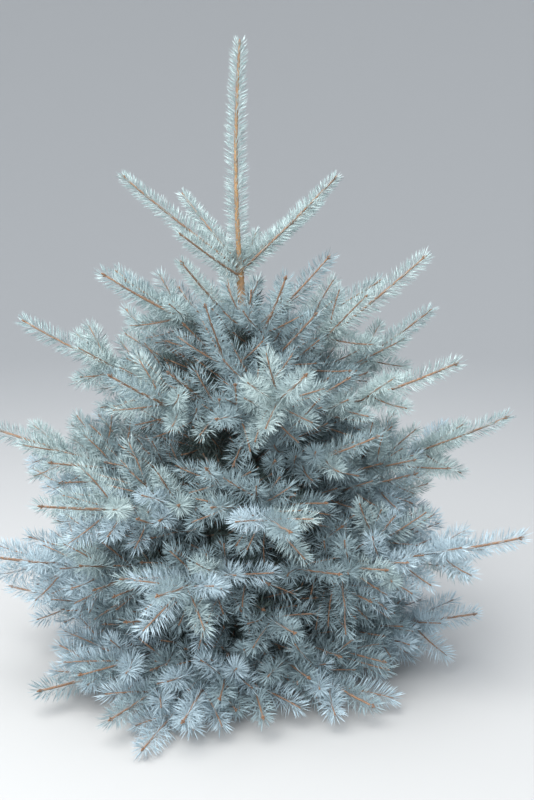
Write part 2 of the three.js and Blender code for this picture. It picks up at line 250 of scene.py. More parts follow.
@dataclass(frozen=True)
class IntervalPlan:
    """The small limbs between two whorls.

    Args:
        tier: The part of the crown that they belong to.
        low: The lowest height at which one leaves the trunk.
        high: The greatest height.
        count: How many there are.
        years: How many years they have grown.
        shortest: The least reach.
        longest: The greatest reach.
        climb: Their climb in degrees.
        first: The first one's azimuth.
        seed: The seed of their differences.
        place_jitter: The differences in height, as a share of the distance between two.
        climb_jitter: The differences in climb, in degrees.
        rise: How much more their tips climb.
    """

    tier: str
    low: float
    high: float
    count: int
    years: int
    shortest: float
    longest: float
    climb: float
    first: float
    seed: int
    place_jitter: float = 0.4
    climb_jitter: float = 8
    rise: float = 8


INTERVALS = (
    IntervalPlan("tier_2", 620, 790, 12, 2, 170, 320, 30, 255, 20000),
    IntervalPlan("tier_3", 450, 620, 13, 2, 260, 440, 24, 300, 30000),
    IntervalPlan("tier_4", 290, 440, 12, 3, 280, 480, 17, 240, 40000),
    IntervalPlan("tier_5", 165, 280, 11, 3, 280, 480, 9, 280, 50000),
    IntervalPlan("tier_6", 70, 160, 9, 3, 260, 460, 1, 265, 60000),
    IntervalPlan("tier_6", 60, 120, 7, 3, 330, 520, -6, 340, 70000),
)

# The small limbs of the low tufts in front: each one's height on the trunk, and its plan.
SKIRT = (
    (86, LimbPlan(241, 540, -9, 3)),
    (62, LimbPlan(250, 562, -7, -1)),
    (104, LimbPlan(265, 450, -8, 4)),
    (96, LimbPlan(276, 470, -12, 2)),
    (118, LimbPlan(228, 500, -10, 8)),
    (110, LimbPlan(292, 400, -10, 6)),
    (100, LimbPlan(318, 440, -9, 4)),
)
SKIRT_TIER = "tier_6"
SKIRT_YEARS = 5
SKIRT_SEED = 80000
WHORL_SEED = 1000
LIMB_SEED = 10

SIDE_TWIG = TwigHabit(turn=50, lift=8, share=0.58, stagger=7)
TOP_TWIG = TwigHabit(turn=16, lift=42, share=0.34, stagger=22)
FORK_TWIG = TwigHabit(turn=46, lift=6, share=0.6, stagger=6)
RISING_TWIG = TwigHabit(turn=42, lift=36, share=0.42, stagger=12)
HANGING_TWIG = TwigHabit(turn=46, lift=-34, share=0.44, stagger=16)

# The finer twigs that are tried at each place, and the side that each leaves on.
FINE_HABITS = (
    (FORK_TWIG, 1),
    (FORK_TWIG, -1),
    (HANGING_TWIG, -1),
    (RISING_TWIG, 1),
    (HANGING_TWIG, 1),
)
# The places of finer twigs as shares of a year's stretch, and their vigour there.
FINE_PLACES = ((0.15, 0.8), (0.5, 0.9), (1.0, 1.0))


class SeededNumbers:
    """A seeded generator of numbers, the same one that the solids are grown with."""

    STEP = 0x6D2B79F5

    def __init__(self, seed: int) -> None:
        """Starts the sequence at a seed."""
        self.state = seed & MASK

    def next(self) -> float:
        """Draws the next number.

        Returns:
            A number from 0 to 1.
        """
        self.state = (self.state + self.STEP) & MASK
        bits = ((self.state ^ (self.state >> 15)) * (1 | self.state)) & MASK
        bits = ((bits + (bits ^ (bits >> 7)) * (61 | bits)) & MASK) ^ bits
        return ((bits ^ (bits >> 14)) & MASK) / 2**32

    def spread(self) -> float:
        """Returns the next number, from -1 to 1."""
        return 2 * self.next() - 1


def unit(vectors: np.ndarray) -> np.ndarray:
    """Returns the vectors, one a row, scaled to length 1."""
    return vectors / np.maximum(np.linalg.norm(vectors, axis=-1, keepdims=True), TINY)


def lerp(first: float, last: float, share: float | np.ndarray) -> float | np.ndarray:
    """Returns the value a share of the way from the first to the last."""
    return first + (last - first) * share


@dataclass
class Bend:
    """A curve from a start to an end that heads for a bend between them, all in millimetres."""

    MEASURED_POINTS = 33
    STEEP = 0.75

    start: Vector3
    bend: Vector3
    end: Vector3

    def points(self, shares: np.ndarray) -> np.ndarray:
        """Returns the points at shares of the curve, one a row."""
        s = np.asarray(shares, float).reshape(-1, 1)
        return (1 - s) ** 2 * self.start + 2 * s * (1 - s) * self.bend + s**2 * self.end

    def tangents(self, shares: np.ndarray) -> np.ndarray:
        """Returns the directions at shares of the curve, one a row."""
        s = np.asarray(shares, float).reshape(-1, 1)
        return unit((1 - s) * (self.bend - self.start) + s * (self.end - self.bend))

    def length(self) -> float:
        """Returns the curve's length."""
        steps = np.diff(self.points(np.linspace(0, 1, self.MEASURED_POINTS)), axis=0)
        return float(np.linalg.norm(steps, axis=1).sum())

    def frames(self, tangents: np.ndarray) -> tuple[np.ndarray, np.ndarray]:
        """Squares a side and an upper direction to each tangent.

        Args:
            tangents: Directions along the curve, one a row.

        Returns:
            The side and the upper directions, one a row each.
        """
        chord = unit(self.end - self.start)
        side = unit(np.cross(tangents, AWAY if chord[2] > self.STEEP else UP))
        return side, np.cross(side, tangents)


@dataclass(frozen=True)
class TrunkSizes:
    """The trunk's sizes in millimetres, as the solids have them.

    Args:
        height: The height of the leader's tip.
        top_whorl: The height at which the leader starts.
        foot_radius: The radius at the ground, without the flare.
        top_radius: The radius at the top whorl.
        flare: What the root flare adds to the radius at the ground.
        flare_height: The height over which the flare fades.
        leader_foot: The leader's radius where it starts.
        leader_tip: The leader's radius at its tip.
        leader_bare: The share of the leader that has no needles.
        wander_length: The height over which the trunk's middle wanders once to and fro.
        wander_x: How far it wanders along X.
        wander_y: How far it wanders along Y.
        wander_pace: How much slower that is.
    """

    height: float = 1470
    top_whorl: float = 960
    foot_radius: float = 23
    top_radius: float = 8.5
    flare: float = 15
    flare_height: float = 38
    leader_foot: float = 6
    leader_tip: float = 2.6
    leader_bare: float = 0.03
    wander_length: float = 960
    wander_x: float = -8
    wander_y: float = 4
    wander_pace: float = 0.7

    def centre(self, z: np.ndarray) -> np.ndarray:
        """Finds the trunk's middle, which wanders a little.

        Args:
            z: Heights.

        Returns:
            A point for each height, one a row.
        """
        height = np.asarray(z, float)
        turn = 2 * math.pi * height / self.wander_length
        x, y = self.wander_x * np.sin(turn), self.wander_y * np.sin(self.wander_pace * turn)
        return np.stack([x, y, height], axis=-1)

    def radius(self, z: np.ndarray) -> np.ndarray:
        """Works out the trunk's radius, with its root flare.

        Args:
            z: Heights.

        Returns:
            The radius at each height.
        """
        height = np.asarray(z, float)
        taper = lerp(self.foot_radius, self.top_radius, height / self.top_whorl)
        flared = taper + self.flare * np.exp(-height / self.flare_height)
        above = (height - self.top_whorl) / (self.height - self.top_whorl)
        leader = lerp(self.leader_foot, self.leader_tip, above)
        return np.where(height > self.top_whorl, leader, flared)


TRUNK = TrunkSizes()


@dataclass(frozen=True)
class StemRadii:
    """A limb's radius where its foliage starts, and at its tip, in millimetres."""

    foot: float
    tip: float


TOP_STEM = StemRadii(3.4, 2.2)
WHORL_STEM = StemRadii(4.4, 2.3)
SMALL_STEM = StemRadii(3.2, 1.9)


@dataclass
class Shoot:
    """An axis of wood with a needled stretch for each of its years.

    Args:
        curve: Where it runs.
        years: How many years it has grown.
        tier: The part of the crown that it belongs to.
        bare: The share of the curve at its foot that is left to a bough.
        foot_radius: Its radius at the foot.
        tip_radius: Its radius at the tip.
        depth: 0 on a limb or the leader, 1 on a twig of it, and so on.
        shade: How deep in the crown it stands, from 0 outside to 1 at the trunk.
    """

    curve: Bend
    years: int
    tier: str
    bare: float
    foot_radius: float
    tip_radius: float
    depth: int
    shade: float = 0.0

    def year_ends(self) -> list[float]:
        """Returns the share of the curve at which each year ends, from the oldest to this one."""
        growths = [GROWTH.yearly**year for year in range(self.years)]
        return [float(end) for end in np.cumsum(growths) / sum(growths)]

    def stretches(self) -> list[tuple[float, float, int]]:
        """Splits the shoot into its years, outside the bare foot.

        Returns:
            The start share, end share and age of each stretch.
        """
        ends = self.year_ends()
        starts = [0.0, *ends[:-1]]
        ages = range(self.years - 1, -1, -1)
        rows = zip(starts, ends, ages, strict=True)
        least = self.bare + GROWTH.least_stretch
        return [(max(start, self.bare), end, age) for start, end, age in rows if end > least]

    def radius(self, shares: np.ndarray) -> np.ndarray:
        """Returns the wood's radius at shares of the curve."""
        return lerp(self.foot_radius, self.tip_radius, np.asarray(shares, float))


@dataclass(frozen=True)
class GrowthRule:
    """The rule by which twigs leave their stems, and how far it is carried. Lengths are in millimetres.

    Args:
        yearly: How much longer each year's growth is than the one before.
        halfway_vigour: The vigour of twigs that leave half way through a year's growth.
        fork_place: The share of a twig at which it forks.
        forking_length: The length above which it does.
        turn_back: How far its outer half turns back to its stem's direction, from 0 to 1.
        length_jitter: The differences in length, as a share.
        angle_jitter: The differences in turn and lift, in degrees.
        tries: The shares of its full length at which a twig is tried, one after another.
        shortest: The least length of a twig that the solids have too.
        shortest_fine: The least length of a finer twig.
        natural_fine: The length that a finer fork has at least, before it is shortened to fit.
        bough_share: The share of a limb that is a bare bough.
        whorl_stagger: How far a whorl's limbs stand above and below its height, by turns.
        gap: The distance between the spaces of neighbouring limbs.
        lowest: The least height of a twig's tip.
        lowest_fine: The least height of a finer twig's tip.
        crowding: The least distance of a finer twig from others.
        fine_lift_jitter: The further differences in its lift, in degrees.
        fine_place_jitter: The differences in the share at which it leaves.
        fine_depth: The depth of the last shoots that it leaves.
        fine_seed: What is added to a limb's seed for its finer twigs.
        least_stretch: The least share of a shoot that is a stretch of its own.
        foot_radius: A twig's radius at the foot, before its age and length count.
        foot_by_year: What a year adds to it.
        foot_by_length: What a millimetre of length adds to it.
        foot_share: The most that it may be, as a share of its stem's radius.
        tip_radius: A twig's radius at the tip, before its length counts.
        tip_by_length: What a millimetre of length adds to it.
    """

    yearly: float = 1.25
    halfway_vigour: float = 0.62
    fork_place: float = 0.42
    forking_length: float = 165
    turn_back: float = 0.3
    length_jitter: float = 0.12
    angle_jitter: float = 6
    tries: tuple[float, ...] = (1.0, 0.8, 0.6)
    shortest: float = 88
    shortest_fine: float = 78
    natural_fine: float = 132
    bough_share: float = 0.25
    whorl_stagger: float = 13
    gap: float = 0.4
    lowest: float = 4
    lowest_fine: float = 22
    crowding: float = 28
    fine_lift_jitter: float = 14
    fine_place_jitter: float = 0.03
    fine_depth: int = 1
    fine_seed: int = 2
    least_stretch: float = 0.01
    foot_radius: float = 1.4
    foot_by_year: float = 0.4
    foot_by_length: float = 0.004
    foot_share: float = 0.85
    tip_radius: float = 1.1
    tip_by_length: float = 0.003

    def nodes(self, years: int) -> list[tuple[float, float, int]]:
        """Places where side twigs leave a stem.

        Args:
            years: The stem's age.

        Returns:
            The share of the stem, the vigour and the years left to the twig, for each place.
        """
        growths = [self.yearly**year for year in range(years)]
        total, reached, found = sum(growths), 0.0, []
        for year, growth in enumerate(growths[:-1]):
            left = years - 1 - year
            found.append(((reached + growth / 2) / total, self.halfway_vigour, left))
            reached += growth
            found.append((reached / total, 1.0, left))
        return found

    def twig(self, habit: TwigHabit, hand: int, at: float, vigour: float, numbers: SeededNumbers) -> Twig:
        """Draws one twig with its own small differences.

        Args:
            habit: The kind of twig.
            hand: 1 or -1, the side on which it leaves.
            at: The share of the stem at which it leaves.
            vigour: A factor on its length.
            numbers: The seeded numbers, three of which are drawn.

        Returns:
            The twig.
        """
        turn = hand * (habit.turn + self.angle_jitter * numbers.spread())
        lift = habit.lift + self.angle_jitter * numbers.spread()
        share = habit.share * vigour * (1 + self.length_jitter * numbers.spread())
        return Twig(at, hand * habit.stagger, turn, lift, share)

    def curve(self, stem: Bend, twig: Twig, length: float) -> Bend:
        """Leaves the stem at the twig's angle, and turns back a little towards the stem's direction.

        Args:
            stem: The curve that it leaves.
            twig: The twig.
            length: Its length.

        Returns:
            The twig's curve.
        """
        at = np.array([min(max(twig.at + twig.stagger / stem.length(), 0.0), 1.0)])
        start = stem.points(at)[0]
        forward = stem.tangents(at)[0]
        side = unit(np.cross(forward, UP))
        up = np.cross(side, forward)
        turn, lift = math.radians(twig.turn), math.radians(twig.lift)
        flat = math.cos(turn) * forward + math.sin(turn) * side
        direction = math.cos(lift) * flat + math.sin(lift) * up
        bend = start + direction * length / 2
        late = unit(lerp(direction, forward, self.turn_back))
        return Bend(start, bend, bend + late * length / 2)


GROWTH = GrowthRule()


def limb_curve(plan: LimbPlan, height: float) -> Bend:
    """Draws a limb from the middle of the trunk.

    Args:
        plan: The limb's place and climb.
        height: Where it leaves the trunk.

    Returns:
        The limb's curve.
    """
    azimuth = math.radians(plan.azimuth)
    outward = np.array([math.cos(azimuth), math.sin(azimuth), 0.0])
    start = TRUNK.centre(height)
    foot, tip = math.tan(math.radians(plan.foot)), math.tan(math.radians(plan.tip))
    half = plan.reach / 2
    bend = start + outward * half + UP * half * foot
    end = start + outward * plan.reach + UP * half * (foot + tip)
    return Bend(start, bend, end)


def whorl_curve(whorl: WhorlPlan, index: int) -> Bend:
    """Draws one limb of a whorl, whose limbs stand above and below its height by turns.

    Args:
        whorl: The whorl's plan.
        index: The limb's place in it.

    Returns:
        The limb's curve.
    """
    plan = whorl.limbs[index]
    stagger = GROWTH.whorl_stagger if index % 2 else -GROWTH.whorl_stagger
    return limb_curve(plan, whorl.height + stagger - plan.drop)


def space_of(azimuth: float, azimuths: Sequence[float]) -> Callable[[Vector3], bool]:
    """Makes the test for a limb's own space.

    Args:
        azimuth: The limb's direction.
        azimuths: The directions of all limbs in its whorl.

    Returns:
        A function that says whether a point is above the ground and between the planes to the neighbours.
    """
    others = [other for other in azimuths if other != azimuth]
    left = min((other - azimuth) % 360 for other in others) / 2
    right = min((azimuth - other) % 360 for other in others) / 2

    def holds(point: Vector3) -> bool:
        """Tests one point.

        Args:
            point: The point.

        Returns:
            Whether it is in the space.
        """
        x, y = (point - TRUNK.centre(point[2]))[:2]
        margin = math.degrees(GROWTH.gap / max(math.hypot(x, y), 1.0))
        offset = (math.degrees(math.atan2(y, x)) - azimuth + 180) % 360 - 180
        return point[2] > GROWTH.lowest and margin - right < offset < left - margin

    return holds


def is_above_ground(point: Vector3) -> bool:
    """Returns whether a point is clear of the ground."""
    return bool(point[2] > GROWTH.lowest)


@dataclass
class Room:
    """The places that the crown's twigs take up, noted in cubic cells as long as their least distance.

    Args:
        distance: The least distance, in millimetres.
        step: The distance between the points that are noted along a twig.
        fewest: How many points are noted at least.
        outer: The share of a twig from which on it is noted.
        probes: The shares of a new twig that are tested.
        taken: The points that are noted, by cell.
    """

    distance: float
    step: float = 14.0
    fewest: int = 3
    outer: float = 0.3
    probes: tuple[float, ...] = (0.5, 0.75, 1.0)
    taken: dict[tuple[int, int, int], list[Vector3]] = field(default_factory=dict)

    def cell(self, point: Vector3) -> tuple[int, int, int]:
        """Returns the cell that a point is in."""
        x, y, z = (int(value // self.distance) for value in point)
        return x, y, z

    def take(self, curve: Bend) -> None:
        """Notes the outer part of a twig's axis.

        Args:
            curve: The axis.
        """
        count = max(self.fewest, int(curve.length() / self.step))
        for point in curve.points(np.linspace(self.outer, 1, count)):
            self.taken.setdefault(self.cell(point), []).append(point)

    def is_crowded(self, curve: Bend) -> bool:
        """Tests the outer half of a new twig.

        Args:
            curve: Its axis.

        Returns:
            Whether it comes too close to a twig.
        """
        for probe in curve.points(np.array(self.probes)):
            x, y, z = self.cell(probe)
            cells = itertools.product((x - 1, x, x + 1), (y - 1, y, y + 1), (z - 1, z, z + 1))
            near = [point for cell in cells for point in self.taken.get(cell, ())]
            if near and np.linalg.norm(np.array(near) - probe, axis=1).min() < self.distance:
                return True
        return False


@dataclass
class Limb:
    """A limb with all that grows on it: the solids' twigs first, and then finer ones in the gaps.

    Args:
        stem: The limb itself.
        nodes: The places where side twigs leave it, as the rule gives them.
        seed: The seed of its differences.
        holds: Says whether a point is in the limb's space.
        room: The places that the crown's twigs take up.
        shoots: All its shoots so far.
    """

    stem: Shoot
    nodes: list[tuple[float, float, int]]
    seed: int
    holds: Callable[[Vector3], bool]
    room: Room
    shoots: list[Shoot] = field(default_factory=list)

    def grow(self) -> None:
        """Grows the twigs that the solids have too."""
        numbers = SeededNumbers(self.seed)
        plans = []
        for index, (at, vigour, left) in enumerate(self.nodes):
            for habit, hand in ((SIDE_TWIG, 1), (SIDE_TWIG, -1), (TOP_TWIG, 1 if index % 2 else -1)):
                plans.append((GROWTH.twig(habit, hand, at, vigour, numbers), left))
        forks = [
            [GROWTH.twig(FORK_TWIG, hand, GROWTH.fork_place, 1.0, numbers) for hand in (-1, 1)]
            for _ in plans
        ]
        self.keep(self.stem)
        for (twig, left), pair in zip(plans, forks, strict=True):
            shoot = self.add(self.stem, twig, left, GROWTH.shortest)
            if shoot and shoot.curve.length() > GROWTH.forking_length:
                for fork in pair:
                    self.add(shoot, fork, max(1, left - 1), GROWTH.shortest)

    def keep(self, shoot: Shoot) -> None:
        """Keeps a shoot, and its place clear of later ones."""
        self.shoots.append(shoot)
        self.room.take(shoot.curve)

    def add(
        self, parent: Shoot, twig: Twig, years: int, shortest: float, fine: bool = False
    ) -> Shoot | None:
        """Grows one twig where it finds room, shortened where its full length doesn't.

        Args:
            parent: The shoot that it leaves.
            twig: The twig.
            years: Its age.
            shortest: The least length.
            fine: Whether it is one of the finer twigs, which keep clear of all others.

        Returns:
            The new shoot, or None where there is no room.
        """
        full = parent.curve.length() * (1 - twig.at) * twig.share
        if fine:
            full = max(full, GROWTH.natural_fine * (twig.share / FORK_TWIG.share) ** 0.5)
        for share in GROWTH.tries:
            length = full * share
            if length < shortest:
                return None
            curve = GROWTH.curve(parent.curve, twig, length)
            if not self.holds(curve.end):
                continue
            if fine and (curve.end[2] < GROWTH.lowest_fine or self.room.is_crowded(curve)):
                continue
            stem_radius = float(parent.radius(np.array([twig.at]))[0])
            foot = GROWTH.foot_radius + GROWTH.foot_by_year * years + GROWTH.foot_by_length * length
            foot = min(foot, GROWTH.foot_share * stem_radius)
            tip = GROWTH.tip_radius + GROWTH.tip_by_length * length
            shoot = Shoot(curve, years, parent.tier, 0.0, max(foot, tip), tip, parent.depth + 1)
            self.keep(shoot)
            return shoot
        return None

    def fill(self) -> None:
        """Carries the rule on to finer twigs, wherever there is room left for them."""
        numbers = SeededNumbers(self.seed + GROWTH.fine_seed)
        grown = list(self.shoots)
        while grown:
            parent = grown.pop(0)
            if parent.depth > GROWTH.fine_depth:
                continue
            for at, years, vigour in self.fine_places(parent):
                for habit, hand in FINE_HABITS:
                    place = at + GROWTH.fine_place_jitter * numbers.spread()
                    twig = GROWTH.twig(habit, hand, place, vigour, numbers)
                    twig = replace(twig, lift=twig.lift + GROWTH.fine_lift_jitter * numbers.spread())
                    shoot = self.add(parent, twig, years, GROWTH.shortest_fine, fine=True)
                    if shoot:
                        grown.append(shoot)

    def fine_places(self, parent: Shoot) -> list[tuple[float, int, float]]:
        """Places where finer twigs may leave a shoot.

        Args:
            parent: The shoot.

        Returns:
            The share of the shoot, the twig's years and its vigour, for each place.
        """
        found = []
        for start, end, age in parent.stretches():
            if age == 0:
                continue
            for place, vigour in FINE_PLACES:
                found.append((lerp(start, end, place), age, vigour))
        return found


@dataclass(frozen=True)
class Hull:
    """The cone round the crown, by which a shoot's depth is told. Lengths are in millimetres.

    Args:
        radius: Its radius where it is widest.
        widest: The height at which that is.
        cone: How far above that the cone would end in a point.
        foot: Its radius at the ground, as a share.
        foot_gain: What that share gains up to the widest place.
        least: The least radius that a depth is compared with.
        middle: The share of a shoot at which its depth is taken.
    """

    radius: float = 690
    widest: float = 250
    cone: float = 1150
    foot: float = 0.8
    foot_gain: float = 0.2
    least: float = 400
    middle: float = 0.6

    def shade(self, curve: Bend) -> float:
        """Works out how deep in the crown a shoot stands.

        Args:
            curve: The shoot's axis.

        Returns:
            0 at the hull and outside it, 1 at the trunk.
        """
        x, y, z = curve.points(np.array([self.middle]))[0]
        foot = self.foot + self.foot_gain * min(1.0, z / self.widest)
        hull = self.radius * (1 - max(0.0, z - self.widest) / self.cone) * foot
        depth = (hull - math.hypot(x, y)) / max(hull, self.least)
        return min(1.0, max(0.0, depth))


@dataclass
class Crown:
    """Every needled shoot of the tree, tier by tier.

    Args:
        limbs: The limbs.
        room: The places that their twigs take up.
        hull: The cone round them.
    """

    limbs: list[Limb] = field(default_factory=list)
    room: Room = field(default_factory=lambda: Room(GROWTH.crowding))
    hull: Hull = field(default_factory=Hull)

    def grow(self) -> list[Shoot]:
        """Grows the leader, the top shoots, the whorls and the small limbs.

        Returns:
            All their shoots.
        """
        azimuths = [plan.azimuth for _, plan in TOP_SHOOTS]
        for index, (height, plan) in enumerate(TOP_SHOOTS):
            stem = Shoot(limb_curve(plan, height), 1, TOP_TIER, 0.0, TOP_STEM.foot, TOP_STEM.tip, 0)
            self.limbs.append(Limb(stem, [], index, space_of(plan.azimuth, azimuths), self.room))
        for whorl in WHORLS:
            self.grow_whorl(whorl)
        for interval in INTERVALS:
            self.grow_interval(interval)
        for index, (height, plan) in enumerate(SKIRT):
            self.add_small_limb(plan, height, SKIRT_YEARS, SKIRT_TIER, SKIRT_SEED + LIMB_SEED * index)
        for limb in self.limbs:
            limb.grow()
        for limb in self.limbs:
            limb.fill()
        shoots = [self.leader(), *(shoot for limb in self.limbs for shoot in limb.shoots)]
        self.set_shade(shoots)
        return shoots

    def leader(self) -> Shoot:
        """Makes the leader, this year's growth of the trunk itself.

        Returns:
            The leader as a shoot.
        """
        heights = np.array([TRUNK.top_whorl, (TRUNK.top_whorl + TRUNK.height) / 2, TRUNK.height])
        foot, middle, tip = TRUNK.centre(heights)
        curve = Bend(foot, middle * 2 - (foot + tip) / 2, tip)
        return Shoot(curve, 1, TOP_TIER, TRUNK.leader_bare, TRUNK.leader_foot, TRUNK.leader_tip, 0)

    def grow_whorl(self, whorl: WhorlPlan) -> None:
        """Adds the limbs of a whorl.

        Args:
            whorl: The whorl's plan.
        """
        azimuths = [plan.azimuth for plan in whorl.limbs]
        for index, plan in enumerate(whorl.limbs):
            curve = whorl_curve(whorl, index)
            split = GROWTH.bough_share if whorl.foot_radius else 0.0
            foot = whorl.foot_radius or WHORL_STEM.foot
            nodes = [node for node in GROWTH.nodes(whorl.years) if node[0] > split]
            stem = Shoot(curve, whorl.years, f"tier_{whorl.number}", split, foot, WHORL_STEM.tip, 0)
            seed = WHORL_SEED * whorl.number + LIMB_SEED * index
            self.limbs.append(Limb(stem, nodes, seed, space_of(plan.azimuth, azimuths), self.room))

    def grow_interval(self, interval: IntervalPlan) -> None:
        """Adds the small limbs that leave the trunk between two whorls.

        Args:
            interval: Their plan.
        """
        numbers = SeededNumbers(interval.seed)
        for index in range(interval.count):
            place = index + 0.5 + interval.place_jitter * numbers.spread()
            height = lerp(interval.low, interval.high, place / interval.count)
            azimuth = (interval.first + index * math.degrees(GOLDEN_ANGLE)) % 360
            reach = lerp(interval.shortest, interval.longest, numbers.next())
            climb = interval.climb + interval.climb_jitter * numbers.spread()
            plan = LimbPlan(azimuth, reach, climb, climb + interval.rise)
            seed = interval.seed + LIMB_SEED * index
            self.add_small_limb(plan, height, interval.years, interval.tier, seed)

    def add_small_limb(self, plan: LimbPlan, height: float, years: int, tier: str, seed: int) -> None:
        """Adds one small limb, unless its tip would be too low.

        Args:
            plan: Its place and climb.
            height: Where it leaves the trunk.
            years: How many years it has grown.
            tier: The part of the crown that it belongs to.
            seed: The seed of its differences.
        """
        curve = limb_curve(plan, height)
        stem = Shoot(curve, years, tier, 0.0, SMALL_STEM.foot, SMALL_STEM.tip, 0)
        if stem.curve.end[2] > GROWTH.lowest_fine:
            self.limbs.append(Limb(stem, GROWTH.nodes(years), seed, is_above_ground, self.room))

    def set_shade(self, shoots: Sequence[Shoot]) -> None:
        """Notes on each shoot how deep in the crown it stands, and 0 on those of the top."""
        for shoot in shoots:
            shoot.shade = 0.0 if shoot.tier == TOP_TIER else self.hull.shade(shoot.curve)


@dataclass
class MeshParts:
    """Corners and triangles gathered from many small shapes, in millimetres.

    Args:
        corners: The corners, a table for each shape or batch.
        faces: The triangles, in the same way.
        count: How many corners there are so far.
    """

    corners: list[np.ndarray] = field(default_factory=list)
    faces: list[np.ndarray] = field(default_factory=list)
    count: int = 0

    def add(self, corners: np.ndarray, faces: np.ndarray) -> None:
        """Adds one shape or a batch of them.

        Args:
            corners: Points, one a row.
            faces: Triangles as rows of indexes into these corners.
        """
        self.corners.append(corners)
        self.faces.append(faces + self.count)
        self.count += len(corners)

    def build(self, name: str, material: bpy.types.Material, smooth: bool = True) -> bpy.types.Object:
        """Makes one mesh object of all the shapes, in metres.

        Args:
            name: The piece's name.
            material: Its material.
            smooth: Whether its faces are shaded as one rounded surface.

        Returns:
            The object, linked to the scene.
        """
        corners = np.concatenate(self.corners).astype(np.float32) * MM
        faces = np.concatenate(self.faces).astype(np.int32)
        mesh = bpy.data.meshes.new(name)
        mesh.vertices.add(len(corners))
        mesh.vertices.foreach_set("co", corners.ravel())
        mesh.loops.add(faces.size)
        mesh.loops.foreach_set("vertex_index", faces.ravel())
        mesh.polygons.add(len(faces))
        mesh.polygons.foreach_set("loop_start", np.arange(0, faces.size, 3, dtype=np.int32))
        mesh.polygons.foreach_set("use_smooth", np.full(len(faces), smooth))
        mesh.materials.append(material)
        mesh.update(calc_edges=True)
        mesh.validate()
        piece = bpy.data.objects.new(name, mesh)
        bpy.context.scene.collection.objects.link(piece)
        return piece


def tube_faces(rings: int, sides: int) -> np.ndarray:
    """Joins rings of corners, with a foot point before them and a tip point after them.

    Args:
        rings: How many rings there are.
        sides: How many corners a ring has.

    Returns:
        Triangles that face out, as rows of indexes: 0 is the foot point, then the rings, then the tip.
    """
    i = np.arange(sides)
    j = (i + 1) % sides
    tip = 1 + rings * sides
    rows = [np.stack([np.zeros(sides, int), 1 + j, 1 + i], axis=1)]
    for ring in range(rings - 1):
        low, high = 1 + ring * sides, 1 + (ring + 1) * sides
        rows.append(np.stack([low + i, low + j, high + j], axis=1))
        rows.append(np.stack([low + i, high + j, high + i], axis=1))
    last = 1 + (rings - 1) * sides
    rows.append(np.stack([last + i, last + j, np.full(sides, tip)], axis=1))
    return np.concatenate(rows)


def tube(centres: np.ndarray, sides_of: np.ndarray, ups: np.ndarray, radii: np.ndarray) -> np.ndarray:
    """Places the corners of a tube.

    Args:
        centres: The rings' middles, one a row.
        sides_of: The side direction of each ring.
        ups: The upper direction of each ring.
        radii: A radius for each ring and corner, as a table with one row a ring.

    Returns:
        The corners in the order that tube_faces expects.
    """
    turn = np.linspace(0, 2 * math.pi, radii.shape[1], endpoint=False)
    around = np.cos(turn)[None, :, None] * sides_of[:, None] + np.sin(turn)[None, :, None] * ups[:, None]
    rings = centres[:, None] + around * radii[:, :, None]
    return np.concatenate([centres[:1], rings.reshape(-1, 3), centres[-1:]])


@dataclass(frozen=True)
class NeedleShape:
    """A needle's own sizes in millimetres, and how it stands on its stem, with angles in degrees.

    Args:
        length: Its length on shoots that end high up.
        low_length: Its length on shoots that end at the ground.
        long_below: The height below which it grows longer.
        top_length: Its length on the leader and the top shoots.
        top_taper: The share of that at their tips.
        top_angle_foot: Its angle to the stem at their feet.
        top_angle_tip: Its angle at their tips.
        width: Its width where it is widest.
        sink: How deep its root sits in the wood.
        widest_at: The share of its length at which it is widest.
        angle_foot: Its angle to the stem where a year's stretch starts.
        angle_tip: Its angle where the stretch ends.
        angle_noise: The spread of those angles.
        turn_noise: The spread of the places round the stem, in radians.
        brush: The length of stem below a tip on which needles lean forward.
        brush_angle: Their angle at the very tip.
        brush_least: The least share of that lean that a needle takes.
        lift: How much the needles of a level shoot turn up.
        lift_limit: The climb at which they turn no further, as a share of 1.
        curl_forward: How much a needle's outer half turns along the stem.
        curl_up: How much it turns up.
        off_axis: A small turn that keeps its flat side defined.
        shorter: The most by which chance makes it shorter, as a share.
        longer: The most by which chance makes it longer.
        old_share: The share of its length on stretches of older years.
        end_share: The share of its length at both ends of a stretch.
        middle_gain: What that share gains in the middle.
        even_from: The share of a stretch up to which needles stay equally short.
        even_to: The share from which on they stay equally short again.
        ground: The least height of its outer half.
    """

    length: float = 34.0
    low_length: float = 39.5
    long_below: float = 550
    top_length: float = 32.0
    top_taper: float = 0.85
    top_angle_foot: float = 78
    top_angle_tip: float = 60
    width: float = 1.95
    sink: float = 0.5
    widest_at: float = 0.6
    angle_foot: float = 80
    angle_tip: float = 60
    angle_noise: float = 4
    turn_noise: float = 0.5
    brush: float = 24.0
    brush_angle: float = 18
    brush_least: float = 0.4
    lift: float = 0.16
    lift_limit: float = 1.2
    curl_forward: float = 0.1
    curl_up: float = 0.06
    off_axis: float = 0.01
    shorter: float = 0.13
    longer: float = 0.1
    old_share: float = 0.86
    end_share: float = 0.82
    middle_gain: float = 0.18
    even_from: float = 0.08
    even_to: float = 0.9
    ground: float = 1.5


